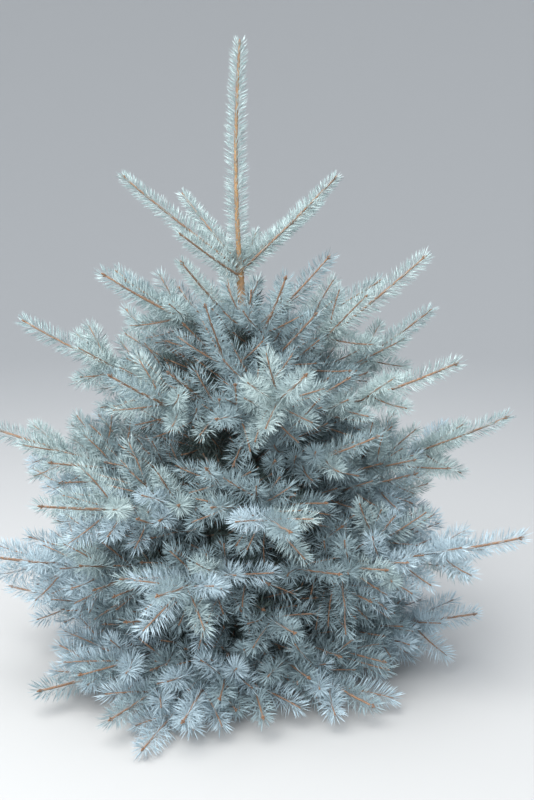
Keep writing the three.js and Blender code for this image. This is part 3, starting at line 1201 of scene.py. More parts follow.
@dataclass(frozen=True)
class NeedleCount:
    """How thickly shoots are needled.

    Args:
        budget: How many needles there are in all.
        fewest: The fewest that a stretch has, if it has any.
        top_per_mm: How many a millimetre of the leader and the top shoots has.
        per_mm: How many a millimetre of stretches of each age has, before the budget counts.
        outer: A factor on shoots at the crown's outside.
        inner: A factor on shoots deep inside.
        reach: How fast the one turns to the other as the shade grows.
    """

    budget: int = 375000
    fewest: int = 3
    top_per_mm: float = 2.8
    per_mm: tuple[float, ...] = (1.1, 1.1, 0.95, 0.6, 0.4, 0.3)
    outer: float = 1.4
    inner: float = 0.42
    reach: float = 1.3

    def on_stretch(self, shoot: Shoot, start: float, end: float, age: int, density: float) -> float:
        """Works out how many needles a stretch has: most at the top, fewest deep inside.

        Args:
            shoot: The shoot.
            start: The share at which the stretch starts.
            end: The share at which it ends.
            age: The stretch's age in years.
            density: The factor that the budget allows, which the top isn't subject to.

        Returns:
            How many needles, not yet rounded.
        """
        length = shoot.curve.length() * (end - start)
        if shoot.tier == TOP_TIER:
            return length * self.top_per_mm
        per_mm = self.per_mm[min(age, len(self.per_mm) - 1)]
        return length * per_mm * lerp(self.outer, self.inner, min(1.0, self.reach * shoot.shade)) * density


@dataclass(frozen=True)
class ToneRule:
    """The rule by which a tone is dealt to a spray: palest outside and on this year's growth, darker on
    older growth and, as painted shade, deeper in the crown.

    Args:
        by_shade: What full shade adds to a spray's level, which darkens it as painted shade.
        by_year: What each year of its age adds.
        oldest: The age from which on nothing more is added.
        jitter: The differences that chance makes.
        limits: The levels below which a spray gets the pale, the middling and the blue tone; above them it
            gets the darkest tone, which is painted shade.
        blue_below: The height below which the pale and the middling tone may be the bluer ones.
        blue_depth: How far below that they always are.
    """

    by_shade: float = 1.45
    by_year: float = 0.25
    oldest: int = 3
    jitter: float = 0.24
    limits: tuple[float, float, float] = (0.36, 0.64, 0.95)
    blue_below: float = 640
    blue_depth: float = 430

    def deal(self, shoot: Shoot, age: int, random: np.random.Generator) -> Tone:
        """Deals a tone to one spray.

        Args:
            shoot: The shoot.
            age: The age of the spray's stretch in years.
            random: The shoot's random numbers, two of which are drawn.

        Returns:
            The tone.
        """
        # A spray's level is painted shade by its depth in the crown, plus its age and chance.
        level = shoot.shade * self.by_shade + self.by_year * min(age, self.oldest)
        level += self.jitter * (random.random() - 0.5)
        low_share = (self.blue_below - shoot.curve.end[2]) / self.blue_depth
        is_low = random.random() < low_share
        pale, middling = (Tone.AZURE, Tone.STEEL) if is_low else (Tone.FROST, Tone.SILVER)
        for limit, tone in zip(self.limits, (pale, middling, Tone.BLUE), strict=True):
            if level < limit:
                return tone
        return Tone.DEEP


@dataclass
class Needles:
    """All needles, gathered by tier and tone.

    Args:
        shoots: The shoots that carry them.
        shape: One needle's sizes.
        thickness: How thickly shoots are needled.
        tones: How tones are dealt.
        parts: The needles by tier and tone.
        density: The factor on the count that the budget allows.
    """

    SEED = 7000
    CORNERS = 4
    FACES = np.array([[0, 1, 2], [3, 2, 1]])

    shoots: Sequence[Shoot]
    shape: NeedleShape = field(default_factory=NeedleShape)
    thickness: NeedleCount = field(default_factory=NeedleCount)
    tones: ToneRule = field(default_factory=ToneRule)
    parts: dict[tuple[str, Tone], MeshParts] = field(default_factory=dict)
    density: float = 1.0

    def __post_init__(self) -> None:
        """Works out how thickly the shoots can be needled within the budget."""
        top = sum(shoot.curve.length() for shoot in self.shoots if shoot.tier == TOP_TIER)
        rest = [shoot for shoot in self.shoots if shoot.tier != TOP_TIER]
        wanted = sum(self.count(shoot, *stretch) for shoot in rest for stretch in shoot.stretches())
        self.density = (self.thickness.budget - top * self.thickness.top_per_mm) / wanted
        LOG.info("%d needles, density %.2f", self.thickness.budget, self.density)

    def count(self, shoot: Shoot, start: float, end: float, age: int) -> float:
        """Returns how many needles a stretch has."""
        return self.thickness.on_stretch(shoot, start, end, age, self.density)

    def grow(self) -> dict[tuple[str, Tone], MeshParts]:
        """Grows every needle.

        Returns:
            The needles by tier and tone.
        """
        for index, shoot in enumerate(self.shoots):
            random = np.random.default_rng(self.SEED + index)
            for start, end, age in shoot.stretches():
                count = int(self.count(shoot, start, end, age))
                if count < self.thickness.fewest:
                    continue
                corners = self.stretch(shoot, start, end, age, count, random)
                firsts = self.CORNERS * np.arange(count)[:, None, None]
                key = (shoot.tier, self.tones.deal(shoot, age, random))
                self.parts.setdefault(key, MeshParts()).add(corners, (self.FACES + firsts).reshape(-1, 3))
        return self.parts

    def stretch(
        self, shoot: Shoot, start: float, end: float, age: int, count: int, random: np.random.Generator
    ) -> np.ndarray:
        """Sets needles round one year's stretch of a shoot.

        Args:
            shoot: The shoot.
            start: The share at which the stretch starts.
            end: The share at which it ends.
            age: The stretch's age in years.
            count: How many needles it gets.
            random: The shoot's random numbers.

        Returns:
            Four corners for each needle: the root, one on each side at its widest, and the tip.
        """
        shape = self.shape
        along = (np.arange(count) + random.random(count)) / count
        shares = lerp(start, end, along)
        tangents = shoot.curve.tangents(shares)
        side, up = shoot.curve.frames(tangents)
        turn = np.arange(count) * GOLDEN_ANGLE + random.normal(0, shape.turn_noise, count)
        radial = np.cos(turn)[:, None] * side + np.sin(turn)[:, None] * up
        direction = self.directions(shoot, age, along, shares, tangents, radial, random)
        length = self.lengths(shoot, age, along, random)
        root = shoot.curve.points(shares) + radial * (shoot.radius(shares)[:, None] - shape.sink)
        middle = root + direction * length * shape.widest_at
        late = unit(direction + shape.curl_forward * tangents + shape.curl_up * UP)
        tip = middle + late * length * (1 - shape.widest_at)
        level = unit(np.cross(direction, tangents + shape.off_axis * AWAY))
        roll = random.uniform(0, np.pi, count)[:, None]
        across = np.cos(roll) * level + np.sin(roll) * np.cross(level, direction)
        half = across * shape.width / 2
        outer = np.stack([middle + half, middle - half, tip], axis=1)
        outer[:, :, 2] += np.maximum(0, shape.ground - outer[:, :, 2].min(axis=1))[:, None]
        return np.concatenate([root[:, None], outer], axis=1).reshape(-1, 3)

    def directions(
        self,
        shoot: Shoot,
        age: int,
        along: np.ndarray,
        shares: np.ndarray,
        tangents: np.ndarray,
        radial: np.ndarray,
        random: np.random.Generator,
    ) -> np.ndarray:
        """Aims the needles of a stretch: forward in the brush at a tip, and up where the shoot is level.

        Args:
            shoot: The shoot.
            age: The stretch's age in years.
            along: Each needle's place as a share of the stretch.
            shares: Its place as a share of the shoot.
            tangents: The shoot's direction there.
            radial: The direction out of the stem there.
            random: The shoot's random numbers.

        Returns:
            A direction for each needle, one a row.
        """
        shape = self.shape
        foot_angle, tip_angle = shape.angle_foot, shape.angle_tip
        if shoot.tier == TOP_TIER:
            foot_angle, tip_angle = shape.top_angle_foot, shape.top_angle_tip
        count = len(along)
        angle = lerp(foot_angle, tip_angle, along) + random.normal(0, shape.angle_noise, count)
        if age == 0:
            to_tip = (1 - shares) * shoot.curve.length()
            near_tip = np.clip(1 - to_tip / shape.brush, 0, 1)
            angle = lerp(angle, shape.brush_angle, near_tip * random.uniform(shape.brush_least, 1, count))
        angle = np.radians(angle)[:, None]
        direction = np.cos(angle) * tangents + np.sin(angle) * radial
        steep = abs(float(unit(shoot.curve.end - shoot.curve.start)[2]))
        direction += shape.lift * (1 - steep) * (shape.lift_limit - direction[:, 2:]) * UP
        return unit(direction)

    def lengths(self, shoot: Shoot, age: int, along: np.ndarray, random: np.random.Generator) -> np.ndarray:
        """Works out the needles' lengths: shorter at both ends of a stretch and in later years.

        Args:
            shoot: The shoot.
            age: The stretch's age in years.
            along: Each needle's place as a share of the stretch.
            random: The shoot's random numbers.

        Returns:
            A length for each needle, as a column.
        """
        shape = self.shape
        usual = shape.top_length * lerp(1.0, shape.top_taper, along)
        if shoot.tier != TOP_TIER:
            usual = lerp(shape.low_length, shape.length, min(1.0, shoot.curve.end[2] / shape.long_below))
        chance = 1 + random.uniform(-shape.shorter, shape.longer, len(along))
        length = usual * chance * (shape.old_share if age else 1.0)
        place = np.clip(along, shape.even_from, shape.even_to)
        return (length * (shape.end_share + shape.middle_gain * np.sin(np.pi * place)))[:, None]


@dataclass(frozen=True)
class BudSizes:
    """The buds at a shoot's tip, in millimetres and on a shoot of full length.

    Args:
        least: A bud's size on the shortest shoot, as a share.
        gain: What a long shoot adds to that share.
        full_length: The length of shoot from which on a bud has its full size.
        length: The end bud's length.
        radius: The end bud's radius.
        strong_length: The length of shoot from which on side buds stand round the end bud.
        side_count: How many of them.
        side_length: A side bud's length.
        side_radius: A side bud's radius.
        side_lean: How far it leans out.
        side_back: How far below the tip it starts.
        side_out: How far out it starts, as a share of the stem's radius.
        plain_below: The radius below which a bud has the plain profile.
        plain_sides: How many corners its rings have then.
        full_sides: How many corners they have otherwise.
    """

    least: float = 0.7
    gain: float = 0.5
    full_length: float = 300
    length: float = 8.0
    radius: float = 2.4
    strong_length: float = 170
    side_count: int = 3
    side_length: float = 5.5
    side_radius: float = 1.8
    side_lean: float = 0.9
    side_back: float = 2.5
    side_out: float = 0.5
    plain_below: float = 2.0
    plain_sides: int = 4
    full_sides: int = 5


@dataclass
class Wood:
    """The twigs' stems and their buds.

    Args:
        shoots: The shoots.
        sides: How many corners a stem's ring has.
        ring_step: The distance between rings, in millimetres.
        fewest_rings: How many rings a stretch has at least.
        overlap: How far a stretch reaches back into the one before, as a share of the shoot.
        unevenness: The differences in radius, as a share.
        swelling: The factor on the radius where a stretch starts.
        bud: The buds' sizes.
        stems: The stems by age.
        buds: All buds.
    """

    SEED = 9000
    # Rows of a bud's profile: places along it and radii, both as shares.
    PLAIN_PROFILE = np.array([[0.0, 0.85], [0.5, 1.0]])
    FULL_PROFILE = np.array([[-0.1, 0.6], [0.3, 1.0], [0.8, 0.5]])

    shoots: Sequence[Shoot]
    sides: int = 5
    ring_step: float = 18.0
    fewest_rings: int = 3
    overlap: float = 0.004
    unevenness: float = 0.09
    swelling: float = 1.16
    bud: BudSizes = field(default_factory=BudSizes)
    stems: dict[TwigAge, MeshParts] = field(default_factory=lambda: {age: MeshParts() for age in TwigAge})
    buds: MeshParts = field(default_factory=MeshParts)

    def grow(self) -> None:
        """Makes every stem, year by year, and the buds at its tip."""
        for index, shoot in enumerate(self.shoots):
            random = np.random.default_rng(self.SEED + index)
            for start, end, age in shoot.stretches():
                self.add_stem(shoot, start, end, age, random)
            self.add_buds(shoot, random)

    def add_stem(
        self, shoot: Shoot, start: float, end: float, age: int, random: np.random.Generator
    ) -> None:
        """Adds one year's stretch of a stem, swollen a little where it starts.

        Args:
            shoot: The shoot.
            start: The share at which the stretch starts.
            end: The share at which it ends.
            age: The stretch's age in years.
            random: The shoot's random numbers.
        """
        rings = max(self.fewest_rings, int(shoot.curve.length() * (end - start) / self.ring_step))
        overlap = self.overlap if start else 0.0
        shares = np.linspace(start - overlap, end, rings)
        tangents = shoot.curve.tangents(shares)
        side, up = shoot.curve.frames(tangents)
        uneven = 1 + self.unevenness * random.uniform(-1, 1, (rings, self.sides))
        radii = shoot.radius(shares)[:, None] * uneven
        radii[0] *= self.swelling
        corners = tube(shoot.curve.points(shares), side, up, radii)
        key = TwigAge.OLDER if age else TwigAge.THIS_YEAR
        self.stems[key].add(corners, tube_faces(rings, self.sides))

    def add_buds(self, shoot: Shoot, random: np.random.Generator) -> None:
        """Sets a bud on the tip of a shoot, and side buds round it on a strong one.

        Args:
            shoot: The shoot.
            random: The shoot's random numbers.
        """
        bud = self.bud
        tangent = shoot.curve.tangents(np.array([1.0]))
        side, up = (rows[0] for rows in shoot.curve.frames(tangent))
        forward, tip = tangent[0], shoot.curve.end
        size = bud.least + bud.gain * min(1.0, shoot.curve.length() / bud.full_length)
        self.add_bud(tip, forward, side, up, bud.length * size, bud.radius * size)
        if shoot.curve.length() < bud.strong_length:
            return
        first = random.uniform(0, 1) * 2 * math.pi
        for turn in first + np.arange(bud.side_count) * 2 * math.pi / bud.side_count:
            radial = math.cos(turn) * side + math.sin(turn) * up
            aim = unit(forward + bud.side_lean * radial)
            across = unit(np.cross(aim, forward))
            root = tip - forward * bud.side_back * size + radial * shoot.tip_radius * bud.side_out
            length, radius = bud.side_length * size, bud.side_radius * size
            self.add_bud(root, aim, across, np.cross(across, aim), length, radius)

    def add_bud(
        self, root: Vector3, aim: Vector3, side: Vector3, up: Vector3, length: float, radius: float
    ) -> None:
        """Adds one egg-shaped bud.

        Args:
            root: Where it starts.
            aim: Its direction.
            side: A direction square to that.
            up: The direction square to both.
            length: Its length.
            radius: Its largest radius.
        """
        is_plain = radius < self.bud.plain_below
        profile = self.PLAIN_PROFILE if is_plain else self.FULL_PROFILE
        sides = self.bud.plain_sides if is_plain else self.bud.full_sides
        rings = len(profile)
        centres = root + np.outer(profile[:, 0] * length, aim)
        radii = np.repeat(profile[:, 1:] * radius, sides, axis=1)
        corners = tube(centres, np.tile(side, (rings, 1)), np.tile(up, (rings, 1)), radii)
        corners[-1] = root + aim * length
        self.buds.add(corners, tube_faces(rings, sides))


@dataclass(frozen=True)
class TrunkBark:
    """The trunk's rings and its relief. Heights and lengths are in millimetres.

    Args:
        sides: How many corners a ring has.
        foot_rings: The heights of the rings on the root flare.
        old_from: Where the evenly spaced rings start.
        old_step: The distance between them.
        young_from: Where the close rings of the young bark start.
        young_step: The distance between them.
        leader_clear: How far above the top whorl they go on.
        leader_from: How far above the top whorl the leader's rings start.
        leader_step: The distance between them.
        old_below: The height below which plates show.
        old_fade: Over what height they grow strong.
        old_depth: Their relief.
        young_above: The height above which leaf cushions show.
        young_fade: Over what height they grow strong.
        young_depth: Their relief.
        leader_less: How much weaker it is on the leader.
        leader_fade: Over what height it weakens.
        cushion_pitch: The length of a cushion.
        cushion_rows: How many stand round the trunk.
        lobe_depth: The relief of the flare's lobes, as a share of the flare.
        lobe_count: How many lobes there are.
        lobe_turn: Where the first one is, in radians.
        knots: The swollen places where whorls leave: height, depth and length of each.
    """

    sides: int = 32
    foot_rings: tuple[float, ...] = (0.0, 3, 7, 12, 18, 25, 33)
    old_from: float = 40.0
    old_step: float = 6
    young_from: float = 700.0
    young_step: float = 2.6
    leader_clear: float = 20
    leader_from: float = 24
    leader_step: float = 7
    old_below: float = 620
    old_fade: float = 300
    old_depth: float = 1.3
    young_above: float = 500
    young_fade: float = 200
    young_depth: float = 1.5
    leader_less: float = 1.1
    leader_fade: float = 10
    cushion_pitch: float = 13
    cushion_rows: int = 6
    lobe_depth: float = 0.3
    lobe_count: int = 5
    lobe_turn: float = 0.6
    knots: tuple[tuple[float, float, float], ...] = ((765, 1.6, 14), (955, 2.0, 11))


@dataclass(frozen=True)
class BoughBark:
    """A bough's rings and its relief. Lengths are in millimetres.

    Args:
        sides: How many corners a ring has.
        ring_step: The distance between rings.
        start: The share of the limb at which the first ring stands, inside the trunk.
        past: How far the last ring stands in the foliage, as a share of the limb.
        tip_radius: The bough's radius where foliage starts.
        collar: The relief of the collar at its foot.
        collar_at: Where the collar is thickest.
        collar_spread: How wide it is, squared.
        cushion_depth: The relief of the leaf cushions.
        cushion_pitch: The length of a cushion.
        cushion_rows: How many stand round the bough.
        cushion_shift: How far the pattern is shifted from one bough to the next.
        plate_depth: The relief of the plates.
        plate_scale: How much smaller they are than the trunk's.
        plate_shift: How far their pattern is shifted from one bough to the next.
    """

    sides: int = 12
    ring_step: float = 4.5
    start: float = 0.012
    past: float = 0.01
    tip_radius: float = 5.2
    collar: float = 2.2
    collar_at: float = 14
    collar_spread: float = 260
    cushion_depth: float = 0.7
    cushion_pitch: float = 11
    cushion_rows: int = 4
    cushion_shift: float = 3
    plate_depth: float = 0.5
    plate_scale: float = 2.2
    plate_shift: float = 37


@dataclass(frozen=True)
class Wave:
    """A wave of bark that winds round a limb and bends to and fro, with lengths in millimetres.

    Args:
        count: How many crests stand round the limb.
        length: How far along the limb a crest runs while it turns by one radian.
        bend: How far it bends, in radians.
        bend_count: How many bends stand round the limb.
        bend_length: How far along the limb a bend runs while it turns by one radian.
        depth: Its share of the relief.
    """

    count: int
    length: float
    bend: float
    bend_count: int
    bend_length: float
    depth: float

    def heights(self, z: np.ndarray, turn: np.ndarray) -> np.ndarray:
        """Returns the wave's height from -1 to 1 at lengths along the limb and angles round it."""
        bend = self.bend * np.sin(self.bend_count * turn + z / self.bend_length)
        return np.sin(self.count * turn + z / self.length + bend)


@dataclass(frozen=True)
class Bark:
    """The trunk and the boughs as meshes with the bark's relief.

    Args:
        on_trunk: The trunk's rings and relief.
        on_boughs: The boughs' rings and relief.
        mean_cushion: The cushions' mean height, from which their relief goes in and out.
        swirl: The long wave of the plates.
        broken: The short one, whose crests are flat.
    """

    on_trunk: TrunkBark = field(default_factory=TrunkBark)
    on_boughs: BoughBark = field(default_factory=BoughBark)
    mean_cushion: float = 0.35
    swirl: Wave = Wave(4, 13, 1.7, 0, 37, 0.55)
    broken: Wave = Wave(7, -8, 2.1, 3, 23, 0.45)

    def cushions(self, z: np.ndarray, turn: np.ndarray, pitch: float, rows: int) -> np.ndarray:
        """Works out the bark's leaf cushions: small diamonds between two families of spirals.

        Args:
            z: Lengths along the limb, as a column.
            turn: Angles round the limb, as a row.
            pitch: The length of a cushion.
            rows: How many cushions stand round the limb.

        Returns:
            A height for each place, up and down from the cushions' mean height.
        """
        first = np.cos(rows * turn + 2 * math.pi * z / pitch)
        second = np.cos(rows * turn - 2 * math.pi * z / pitch)
        return np.clip(first + second, 0, 2) / 2 - self.mean_cushion

    def plates(self, z: np.ndarray, turn: np.ndarray) -> np.ndarray:
        """Works out the relief of old bark: low plates with furrows.

        Args:
            z: Lengths along the limb, as a column.
            turn: Angles round the limb, as a row.

        Returns:
            A height from -1 to 1 for each place.
        """
        swirl, broken = self.swirl.heights(z, turn), self.broken.heights(z, turn)
        flat = np.sign(broken) * np.abs(broken) ** 0.5
        return self.swirl.depth * swirl + self.broken.depth * flat

    def trunk(self) -> MeshParts:
        """Makes the trunk, from its flat cut to the leader's tip.

        Returns:
            The trunk's mesh.
        """
        sizes = self.on_trunk
        old_rings = np.arange(sizes.old_from, sizes.young_from, sizes.old_step)
        young_rings = np.arange(sizes.young_from, TRUNK.top_whorl + sizes.leader_clear, sizes.young_step)
        leader_rings = np.arange(TRUNK.top_whorl + sizes.leader_from, TRUNK.height, sizes.leader_step)
        rings = (np.array(sizes.foot_rings), old_rings, young_rings, leader_rings, np.array([TRUNK.height]))
        heights = np.unique(np.concatenate(rings))
        turn = np.linspace(0, 2 * math.pi, sizes.sides, endpoint=False)[None]
        z = heights[:, None]
        radius = TRUNK.radius(heights)[:, None] * np.ones_like(turn)
        old = np.clip((sizes.old_below - z) / sizes.old_fade, 0, 1)
        young = np.clip((z - sizes.young_above) / sizes.young_fade, 0, 1)
        leader = np.clip((z - TRUNK.top_whorl) / sizes.leader_fade, 0, 1)
        flare = TRUNK.flare * sizes.lobe_depth * np.exp(-z / TRUNK.flare_height)
        lobes = flare * np.sin(sizes.lobe_count * turn + sizes.lobe_turn)
        cushions = self.cushions(z, turn, sizes.cushion_pitch, sizes.cushion_rows)
        young_relief = young * (sizes.young_depth - sizes.leader_less * leader) * cushions
        relief = old * sizes.old_depth * self.plates(z, turn) + young_relief
        swell = sum(depth * np.exp(-(((z - height) / length) ** 2)) for height, depth, length in sizes.knots)
        count = len(heights)
        sides, ups = np.tile([1.0, 0, 0], (count, 1)), np.tile([0, 1.0, 0], (count, 1))
        corners = tube(TRUNK.centre(heights), sides, ups, radius + relief + lobes + swell)
        parts = MeshParts()
        parts.add(corners, tube_faces(count, sizes.sides))
        return parts

    def boughs(self) -> MeshParts:
        """Makes the bare feet of the boughs, each a little way on into its foliage.

        Returns:
            The boughs' mesh.
        """
        parts = MeshParts()
        for whorl in WHORLS:
            if not whorl.foot_radius:
                continue
            for index in range(len(whorl.limbs)):
                self.add_bough(parts, whorl_curve(whorl, index), whorl.foot_radius, index)
        return parts

    def add_bough(self, parts: MeshParts, curve: Bend, foot_radius: float, index: int) -> None:
        """Adds one bough.

        Args:
            parts: The mesh that it joins.
            curve: Its limb's axis.
            foot_radius: Its radius at the trunk.
            index: Its number in the whorl, by which its pattern is shifted.
        """
        sizes = self.on_boughs
        rings = int(curve.length() * GROWTH.bough_share / sizes.ring_step)
        shares = np.linspace(sizes.start, GROWTH.bough_share + sizes.past, rings)
        side, up = curve.frames(curve.tangents(shares))
        turn = np.linspace(0, 2 * math.pi, sizes.sides, endpoint=False)[None]
        z = (shares * curve.length())[:, None]
        radius = lerp(foot_radius, sizes.tip_radius, shares / GROWTH.bough_share)[:, None]
        collar = sizes.collar * np.exp(-((z - sizes.collar_at) ** 2) / sizes.collar_spread)
        along = z + sizes.cushion_shift * index
        cushions = self.cushions(along, turn, sizes.cushion_pitch, sizes.cushion_rows)
        plates = self.plates(z * sizes.plate_scale + sizes.plate_shift * index, turn)
        relief = sizes.cushion_depth * cushions + sizes.plate_depth * plates
        corners = tube(curve.points(shares), side, up, radius + collar + relief)
        parts.add(corners, tube_faces(rings, sizes.sides))


def new_group(
    name: str, inputs: Sequence[tuple[str, str, object]], outputs: Sequence[tuple[str, str]]
) -> tuple[bpy.types.NodeTree, bpy.types.Node, bpy.types.Node]:
    """Makes an empty shader node group.

    Args:
        name: The group's name.
        inputs: Name, socket kind and default of each input.
        outputs: Name and socket kind of each output.

    Returns:
        The group, its input node and its output node.
    """
    group = bpy.data.node_groups.new(name, "ShaderNodeTree")
    for label, kind, default in inputs:
        socket = group.interface.new_socket(name=label, in_out="INPUT", socket_type=kind)
        socket.default_value = default
    for label, kind in outputs:
        group.interface.new_socket(name=label, in_out="OUTPUT", socket_type=kind)
    return group, group.nodes.new("NodeGroupInput"), group.nodes.new("NodeGroupOutput")


def node(tree: bpy.types.NodeTree, kind: str, **settings: object) -> bpy.types.Node:
    """Adds a node with its settings.

    Args:
        tree: The tree that it goes in.
        kind: Its type.
        settings: Its properties, and values of its inputs under in_NAME with _ for a space.

    Returns:
        The node.
    """
    made = tree.nodes.new(kind)
    for name, value in settings.items():
        if name.startswith("in_"):
            made.inputs[name.removeprefix("in_").replace("_", " ")].default_value = value
        else:
            setattr(made, name, value)
    return made


def mixed(
    tree: bpy.types.NodeTree,
    factor: bpy.types.NodeSocket,
    first: bpy.types.NodeSocket,
    second: bpy.types.NodeSocket,
) -> bpy.types.NodeSocket:
    """Mixes two colours.

    Args:
        tree: The tree that holds the nodes.
        factor: The socket of the second colour's share.
        first: The first colour's socket.
        second: The second colour's socket.

    Returns:
        The result's socket.
    """
    mix = node(tree, "ShaderNodeMix", data_type="RGBA")
    for index, socket in zip(COLOUR_MIX_INPUTS, (factor, first, second), strict=True):
        tree.links.new(socket, mix.inputs[index])
    return mix.outputs[COLOUR_MIX_RESULT]


def ranged(
    tree: bpy.types.NodeTree,
    value: bpy.types.NodeSocket,
    lows: tuple[float, float],
    highs: tuple[float, float],
) -> bpy.types.NodeSocket:
    """Maps a value from one range to another.

    Args:
        tree: The tree that holds the nodes.
        value: The value's socket.
        lows: Where the range starts, before and after.
        highs: Where the range ends, before and after.

    Returns:
        The result's socket.
    """
    made = node(tree, "ShaderNodeMapRange", clamp=True)
    made.inputs["From Min"].default_value, made.inputs["To Min"].default_value = lows
    made.inputs["From Max"].default_value, made.inputs["To Max"].default_value = highs
    tree.links.new(value, made.inputs["Value"])
    return made.outputs["Result"]


class Effects:
    """The shader node groups that several materials share."""

    def __init__(self) -> None:
        """Builds each group once."""
        self.bloom = self.make_bloom()
        self.grain = self.make_grain()
        self.flakes = self.make_flakes()

    def make_bloom(self) -> bpy.types.NodeTree:
        """Makes the waxy bloom: patches of a paler colour over a darker one.

        Returns:
            The group, which puts out a colour and a roughness.
        """
        inputs = (
            ("Skin Colour", "NodeSocketColor", (0.2, 0.3, 0.35, 1)),
            ("Bloom Colour", "NodeSocketColor", (0.5, 0.6, 0.65, 1)),
            ("Patch Scale", "NodeSocketFloat", 30.0),
            ("Bloom Amount", "NodeSocketFloat", 0.6),
        )
        outputs = (("Colour", "NodeSocketColor"), ("Roughness", "NodeSocketFloat"))
        group, given, result = new_group("waxy_bloom", inputs, outputs)
        place = node(group, "ShaderNodeTexCoord")
        patches = node(group, "ShaderNodeTexNoise", in_Detail=3.0, in_Roughness=0.6)
        specks = node(group, "ShaderNodeTexNoise", in_Scale=420.0, in_Detail=2.0)
        for noise in (patches, specks):
            group.links.new(place.outputs["Object"], noise.inputs["Vector"])
        group.links.new(given.outputs["Patch Scale"], patches.inputs["Scale"])
        spread = ranged(group, patches.outputs["Fac"], (0.32, -0.35), (0.68, 0.35))
        fine = ranged(group, specks.outputs["Fac"], (0.3, -0.25), (0.7, 0.25))
        both = node(group, "ShaderNodeMath", operation="ADD")
        group.links.new(spread, both.inputs[0])
        group.links.new(fine, both.inputs[1])
        total = node(group, "ShaderNodeMath", operation="ADD", use_clamp=True)
        group.links.new(both.outputs[0], total.inputs[0])
        group.links.new(given.outputs["Bloom Amount"], total.inputs[1])
        colour = mixed(group, total.outputs[0], given.outputs["Skin Colour"], given.outputs["Bloom Colour"])
        group.links.new(colour, result.inputs["Colour"])
        dull = ranged(group, total.outputs[0], (0.0, 0.42), (1.0, 0.68))
        group.links.new(dull, result.inputs["Roughness"])
        return group

    def make_grain(self) -> bpy.types.NodeTree:
        """Makes the fine grooves and freckles of young bark.

        Returns:
            The group, which puts out a colour and a height.
        """
        inputs = (
            ("Ridge Colour", "NodeSocketColor", (0.5, 0.3, 0.1, 1)),
            ("Groove Colour", "NodeSocketColor", (0.25, 0.12, 0.05, 1)),
            ("Scale", "NodeSocketFloat", 400.0),
        )
        outputs = (("Colour", "NodeSocketColor"), ("Height", "NodeSocketFloat"))
        group, given, result = new_group("young_bark_grain", inputs, outputs)
        place = node(group, "ShaderNodeTexCoord")
        ridges = node(group, "ShaderNodeTexVoronoi", feature="SMOOTH_F1")
        wash = node(group, "ShaderNodeTexNoise", in_Scale=35.0, in_Detail=3.0)
        group.links.new(place.outputs["Object"], ridges.inputs["Vector"])
        group.links.new(place.outputs["Object"], wash.inputs["Vector"])
        group.links.new(given.outputs["Scale"], ridges.inputs["Scale"])
        ridge = ranged(group, ridges.outputs["Distance"], (0.15, 0.0), (0.7, 1.0))
        washed = ranged(group, wash.outputs["Fac"], (0.35, 0.0), (0.7, 0.6))
        first = mixed(group, ridge, given.outputs["Ridge Colour"], given.outputs["Groove Colour"])
        colour = mixed(group, washed, first, given.outputs["Groove Colour"])
        group.links.new(colour, result.inputs["Colour"])
        group.links.new(ranged(group, ridge, (0.0, 1.0), (1.0, 0.0)), result.inputs["Height"])
        return group

    def make_flakes(self) -> bpy.types.NodeTree:
        """Makes old bark: grey scales with brown furrows, more of them the lower the wood stands.

        Returns:
            The group, which puts out a colour, a height and a roughness.
        """
        inputs = (
            ("Young Colour", "NodeSocketColor", (0.5, 0.3, 0.1, 1)),
            ("Scale Colour", "NodeSocketColor", (0.2, 0.16, 0.13, 1)),
            ("Furrow Colour", "NodeSocketColor", (0.06, 0.04, 0.03, 1)),
            ("Size", "NodeSocketFloat", 90.0),
            ("Young Above", "NodeSocketFloat", 0.75),
        )
        outputs = (
            ("Colour", "NodeSocketColor"),
            ("Height", "NodeSocketFloat"),
            ("Roughness", "NodeSocketFloat"),
        )
        group, given, result = new_group("flaking_bark", inputs, outputs)
        place = node(group, "ShaderNodeTexCoord")
        stretch = node(group, "ShaderNodeMapping")
        stretch.inputs["Scale"].default_value = (1.0, 1.0, 0.45)
        group.links.new(place.outputs["Object"], stretch.inputs["Vector"])
        cells = node(group, "ShaderNodeTexVoronoi", feature="DISTANCE_TO_EDGE", in_Randomness=0.9)
        group.links.new(stretch.outputs["Vector"], cells.inputs["Vector"])
        group.links.new(given.outputs["Size"], cells.inputs["Scale"])
        rough = node(group, "ShaderNodeTexNoise", in_Scale=160.0, in_Detail=5.0, in_Roughness=0.65)
        group.links.new(stretch.outputs["Vector"], rough.inputs["Vector"])
        furrow = ranged(group, cells.outputs["Distance"], (0.0, 1.0), (0.16, 0.0))
        old = mixed(group, furrow, given.outputs["Scale Colour"], given.outputs["Furrow Colour"])
        axes = node(group, "ShaderNodeSeparateXYZ")
        group.links.new(place.outputs["Object"], axes.inputs["Vector"])
        above = node(group, "ShaderNodeMath", operation="SUBTRACT")
        group.links.new(axes.outputs["Z"], above.inputs[0])
        group.links.new(given.outputs["Young Above"], above.inputs[1])
        youth = ranged(group, above.outputs[0], (-0.25, 0.0), (0.0, 1.0))
        freckled = ranged(group, rough.outputs["Fac"], (0.4, 0.0), (0.62, 0.5))
        young = mixed(group, freckled, given.outputs["Young Colour"], given.outputs["Scale Colour"])
        group.links.new(mixed(group, youth, old, young), result.inputs["Colour"])
        grit = node(group, "ShaderNodeMath", operation="SUBTRACT")
        group.links.new(rough.outputs["Fac"], grit.inputs[0])
        group.links.new(furrow, grit.inputs[1])
        group.links.new(grit.outputs[0], result.inputs["Height"])
        dull = ranged(group, rough.outputs["Fac"], (0.3, 0.75), (0.7, 0.95))
        group.links.new(dull, result.inputs["Roughness"])
        return group


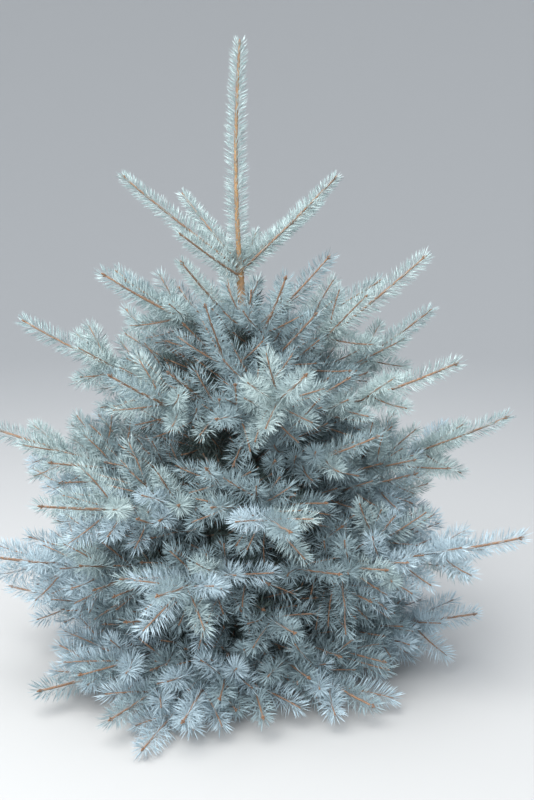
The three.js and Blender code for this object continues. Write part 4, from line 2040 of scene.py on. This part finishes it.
def new_material(name: str) -> tuple[bpy.types.Material, bpy.types.NodeTree, bpy.types.Node]:
    """Makes a material with a bare shader.

    Args:
        name: Its name.

    Returns:
        The material, its node tree and its shader.
    """
    material = bpy.data.materials.new(name)
    material.use_nodes = True
    tree = material.node_tree
    tree.nodes.clear()
    shader = node(tree, "ShaderNodeBsdfPrincipled")
    output = node(tree, "ShaderNodeOutputMaterial")
    tree.links.new(shader.outputs["BSDF"], output.inputs["Surface"])
    return material, tree, shader


def add_group(
    tree: bpy.types.NodeTree, group: bpy.types.NodeTree, values: dict[str, object]
) -> bpy.types.Node:
    """Places a node group in a material.

    Args:
        tree: The material's tree.
        group: The group.
        values: A value for each input that differs from its default.

    Returns:
        The group's node.
    """
    made = node(tree, "ShaderNodeGroup", node_tree=group)
    for name, value in values.items():
        made.inputs[name].default_value = (*value, 1.0) if isinstance(value, tuple) else value
    return made


def add_bump(
    tree: bpy.types.NodeTree,
    shader: bpy.types.Node,
    height: bpy.types.NodeSocket,
    depth: float,
    strength: float,
) -> None:
    """Raises a surface by a height.

    Args:
        tree: The material's tree.
        shader: The shader that takes the normal.
        height: The height's socket.
        depth: How far it stands out, in metres.
        strength: How strongly it shows.
    """
    bump = node(tree, "ShaderNodeBump", in_Strength=strength, in_Distance=depth)
    tree.links.new(height, bump.inputs["Height"])
    tree.links.new(bump.outputs["Normal"], shader.inputs["Normal"])


@dataclass(frozen=True)
class NeedleFinish:
    """Needles of one tone: a blue-green skin, and an amount of pale waxy bloom over it."""

    tone: Tone
    skin: Colour
    bloom: Colour
    amount: float
    patch_scale: float = 34.0
    specular: float = 0.35

    def build(self, effects: Effects) -> bpy.types.Material:
        """Makes the material.

        Args:
            effects: The shared node groups.

        Returns:
            The material.
        """
        material, tree, shader = new_material(f"needles_{self.tone.value}")
        values = {
            "Skin Colour": self.skin,
            "Bloom Colour": self.bloom,
            "Bloom Amount": self.amount,
            "Patch Scale": self.patch_scale,
        }
        group = add_group(tree, effects.bloom, values)
        tree.links.new(group.outputs["Colour"], shader.inputs["Base Color"])
        tree.links.new(group.outputs["Roughness"], shader.inputs["Roughness"])
        shader.inputs["Specular IOR Level"].default_value = self.specular
        return material


@dataclass(frozen=True)
class TwigFinish:
    """Bark of a twig or a bud, with fine grooves whose depth is in metres."""

    name: str
    ridge: Colour
    groove: Colour
    roughness: float
    grooves_per_metre: float = 420.0
    bump_depth: float = 0.0006
    bump_strength: float = 0.7

    def build(self, effects: Effects) -> bpy.types.Material:
        """Makes the material.

        Args:
            effects: The shared node groups.

        Returns:
            The material.
        """
        material, tree, shader = new_material(self.name)
        values = {
            "Ridge Colour": self.ridge,
            "Groove Colour": self.groove,
            "Scale": self.grooves_per_metre,
        }
        group = add_group(tree, effects.grain, values)
        tree.links.new(group.outputs["Colour"], shader.inputs["Base Color"])
        add_bump(tree, shader, group.outputs["Height"], self.bump_depth, self.bump_strength)
        shader.inputs["Roughness"].default_value = self.roughness
        return material


@dataclass(frozen=True)
class BarkFinish:
    """Bark of the trunk or the boughs, young above a height and flaking below it, in metres."""

    name: str
    young: Colour
    scales: Colour
    furrows: Colour
    scales_per_metre: float
    young_above: float
    bump_depth: float = 0.0012
    bump_strength: float = 0.8

    def build(self, effects: Effects) -> bpy.types.Material:
        """Makes the material.

        Args:
            effects: The shared node groups.

        Returns:
            The material.
        """
        material, tree, shader = new_material(self.name)
        values = {
            "Young Colour": self.young,
            "Scale Colour": self.scales,
            "Furrow Colour": self.furrows,
            "Size": self.scales_per_metre,
            "Young Above": self.young_above,
        }
        group = add_group(tree, effects.flakes, values)
        tree.links.new(group.outputs["Colour"], shader.inputs["Base Color"])
        tree.links.new(group.outputs["Roughness"], shader.inputs["Roughness"])
        add_bump(tree, shader, group.outputs["Height"], self.bump_depth, self.bump_strength)
        return material


# The pale finishes go to outer and young sprays. The blue one goes to older sprays and, as painted shade, to
# sprays part way into the crown. The darkest is painted shade deep in the crown.
NEEDLE_FINISHES = (
    NeedleFinish(Tone.FROST, (0.25, 0.325, 0.323), (0.485, 0.59, 0.588), 0.66),
    NeedleFinish(Tone.SILVER, (0.21, 0.282, 0.287), (0.42, 0.525, 0.532), 0.64),
    NeedleFinish(Tone.AZURE, (0.26, 0.345, 0.38), (0.5, 0.615, 0.675), 0.66),
    NeedleFinish(Tone.STEEL, (0.23, 0.308, 0.34), (0.445, 0.56, 0.62), 0.64),
    NeedleFinish(Tone.BLUE, (0.165, 0.226, 0.242), (0.328, 0.43, 0.46), 0.55),
    NeedleFinish(Tone.DEEP, (0.035, 0.053, 0.047), (0.1, 0.14, 0.13), 0.4),
)
TWIG_FINISHES = {
    TwigAge.THIS_YEAR: TwigFinish("twig_bark_young", (0.37, 0.225, 0.135), (0.21, 0.12, 0.075), 0.7),
    TwigAge.OLDER: TwigFinish("twig_bark_old", (0.2, 0.115, 0.07), (0.08, 0.045, 0.03), 0.85),
}
BUD_FINISH = TwigFinish("bud_scales", (0.36, 0.21, 0.12), (0.18, 0.095, 0.055), 0.6, 900.0)
TRUNK_FINISH = BarkFinish(
    "trunk_bark", (0.4, 0.235, 0.11), (0.19, 0.145, 0.115), (0.05, 0.033, 0.025), 85.0, 0.72
)
BOUGH_FINISH = BarkFinish(
    "bough_bark", (0.3, 0.17, 0.09), (0.17, 0.12, 0.09), (0.045, 0.03, 0.022), 130.0, 0.62
)


@dataclass(frozen=True)
class SoftLight:
    """A square panel of light: its place and side in metres, and its power in watts."""

    name: str
    place: tuple[float, float, float]
    side: float
    power: float
    colour: Colour


@dataclass(frozen=True)
class Studio:
    """A plain pale floor that sweeps up at its rim, soft light, and the camera.

    Lengths are in metres, angles in degrees, and the lens and its sensor in millimetres.
    """

    camera_place: tuple[float, float, float] = (0.0, -2.39, 1.0)
    pitch_down: float = 8.53
    yaw_right: float = 1.55
    lens: float = 45.0
    sensor: float = 36.0
    floor_radius: float = 7.0
    floor_sides: int = 96
    sweep: float = 9.0
    sweep_angle: float = 75
    sweep_rings: int = 25
    floor_colour: Colour = (0.43, 0.43, 0.425)
    floor_roughness: float = 0.9
    sky_colour: Colour = (0.86, 0.92, 1.0)
    sky_strength: float = 1.2
    lit_place: tuple[float, float, float] = (0.0, 0.0, 0.6)
    lights: tuple[SoftLight, ...] = (
        SoftLight("soft_overhead", (-1.2, -1.5, 4.0), 3.4, 255.0, (1.0, 0.985, 0.96)),
        SoftLight("soft_front", (-1.8, -4.6, 1.6), 3.4, 170.0, (0.93, 0.96, 1.0)),
    )

    def build(self) -> None:
        """Makes the floor, the lights and the camera."""
        bpy.context.scene.view_settings.view_transform = "Standard"
        self.add_floor()
        self.add_sky()
        for light in self.lights:
            self.add_light(light)
        self.add_camera()

    def add_floor(self) -> None:
        """Makes the floor, a disc that sweeps up softly at its rim. It isn't part of the object."""
        sides = self.floor_sides
        turns = np.linspace(0, 2 * math.pi, sides, endpoint=False)
        rises = np.radians(np.linspace(0, self.sweep_angle, self.sweep_rings))
        rings = []
        for rise in rises:
            radius = self.floor_radius + self.sweep * np.sin(rise)
            level = np.full_like(turns, self.sweep * (1 - np.cos(rise)))
            rings.append(np.stack([np.cos(turns) * radius, np.sin(turns) * radius, level], axis=1))
        faces = [tuple(range(sides))]
        for ring, i in itertools.product(range(self.sweep_rings - 1), range(sides)):
            low, high, j = ring * sides, (ring + 1) * sides, (i + 1) % sides
            faces.append((low + i, high + i, high + j, low + j))
        mesh = bpy.data.meshes.new("floor")
        mesh.from_pydata(np.concatenate(rings).tolist(), [], faces)
        mesh.polygons.foreach_set("use_smooth", np.full(len(mesh.polygons), True))
        floor = bpy.data.objects.new("floor", mesh)
        bpy.context.scene.collection.objects.link(floor)
        material, _, shader = new_material("floor_paint")
        shader.inputs["Base Color"].default_value = (*self.floor_colour, 1.0)
        shader.inputs["Roughness"].default_value = self.floor_roughness
        mesh.materials.append(material)

    def add_sky(self) -> None:
        """Makes the even light that comes from all round."""
        world = bpy.data.worlds.new("soft_sky")
        world.use_nodes = True
        background = world.node_tree.nodes["Background"]
        background.inputs["Color"].default_value = (*self.sky_colour, 1.0)
        background.inputs["Strength"].default_value = self.sky_strength
        bpy.context.scene.world = world

    def add_light(self, light: SoftLight) -> None:
        """Hangs one soft light that looks at the middle of the crown, itself unseen.

        Args:
            light: The light.
        """
        data = bpy.data.lights.new(light.name, "AREA")
        data.size, data.energy, data.color = light.side, light.power, light.colour
        lamp = bpy.data.objects.new(light.name, data)
        bpy.context.scene.collection.objects.link(lamp)
        aim = unit(np.array(light.place) - np.array(self.lit_place))
        lamp.location = light.place
        lamp.visible_camera = False
        lamp.rotation_euler = (math.acos(aim[2]), 0.0, math.atan2(aim[0], -aim[1]))

    def add_camera(self) -> None:
        """Sets up the camera at the photo's viewing angle."""
        data = bpy.data.cameras.new("camera")
        data.lens, data.sensor_width = self.lens, self.sensor
        camera = bpy.data.objects.new("camera", data)
        bpy.context.scene.collection.objects.link(camera)
        camera.location = self.camera_place
        camera.rotation_euler = (math.radians(90 - self.pitch_down), 0.0, math.radians(-self.yaw_right))
        bpy.context.scene.camera = camera


@dataclass
class Spruce:
    """The dressed tree: every piece, its material and the solids that it stands for.

    Args:
        nodes: The names of all solids.
        effects: The shared node groups.
    """

    nodes: list[str]
    effects: Effects = field(default_factory=Effects)

    def tier_nodes(self, tier: str) -> list[str]:
        """Finds the foliage nodes of one tier.

        Args:
            tier: The tier.

        Returns:
            Their names.
        """
        if tier == TOP_TIER:
            return [name for name in self.nodes if name.startswith(("top_shoot", "leader_needles"))]
        return [name for name in self.nodes if name.startswith(f"foliage_{tier[-1]}")]

    def finish_piece(self, piece: bpy.types.Object, stands_for: Sequence[str]) -> None:
        """Ties a piece to the frame and reports it.

        Args:
            piece: The piece.
            stands_for: The nodes that it replaces.
        """
        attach(piece, "root")
        if stands_for:
            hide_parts(*stands_for)
        LOG.info("%s: %d triangles", piece.name, len(piece.data.polygons))

    def build_bark(self) -> None:
        """Makes the trunk and the boughs."""
        bark = Bark()
        trunk = bark.trunk().build("trunk_bark", TRUNK_FINISH.build(self.effects))
        self.finish_piece(trunk, ["trunk"])
        boughs = bark.boughs().build("bough_bark", BOUGH_FINISH.build(self.effects))
        self.finish_piece(boughs, [name for name in self.nodes if name.startswith("bough_")])

    def build_foliage(self) -> None:
        """Grows the crown and makes its twigs, buds and needles."""
        shoots = Crown().grow()
        total = sum(shoot.curve.length() for shoot in shoots) * MM
        LOG.info("%d shoots, %.1f m", len(shoots), total)
        wood = Wood(shoots)
        wood.grow()
        for age, parts in wood.stems.items():
            twigs = parts.build(f"twigs_{age.value}", TWIG_FINISHES[age].build(self.effects))
            self.finish_piece(twigs, [])
        self.finish_piece(wood.buds.build("buds", BUD_FINISH.build(self.effects)), [])
        materials = {finish.tone: finish.build(self.effects) for finish in NEEDLE_FINISHES}
        needles = Needles(shoots).grow()
        for (tier, tone), parts in sorted(needles.items(), key=lambda item: str(item[0])):
            piece = parts.build(f"needles_{tier}_{tone.value}", materials[tone])
            self.finish_piece(piece, self.tier_nodes(tier))


def main() -> None:
    """Builds the tree round the frame, then the studio."""
    logging.basicConfig(level=logging.INFO, format="%(message)s")
    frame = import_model()
    spruce = Spruce(sorted(frame["nodes"]))
    spruce.build_bark()
    spruce.build_foliage()
    Studio().build()
    bpy.context.view_layer.update()


if __name__ == "__main__":
    main()
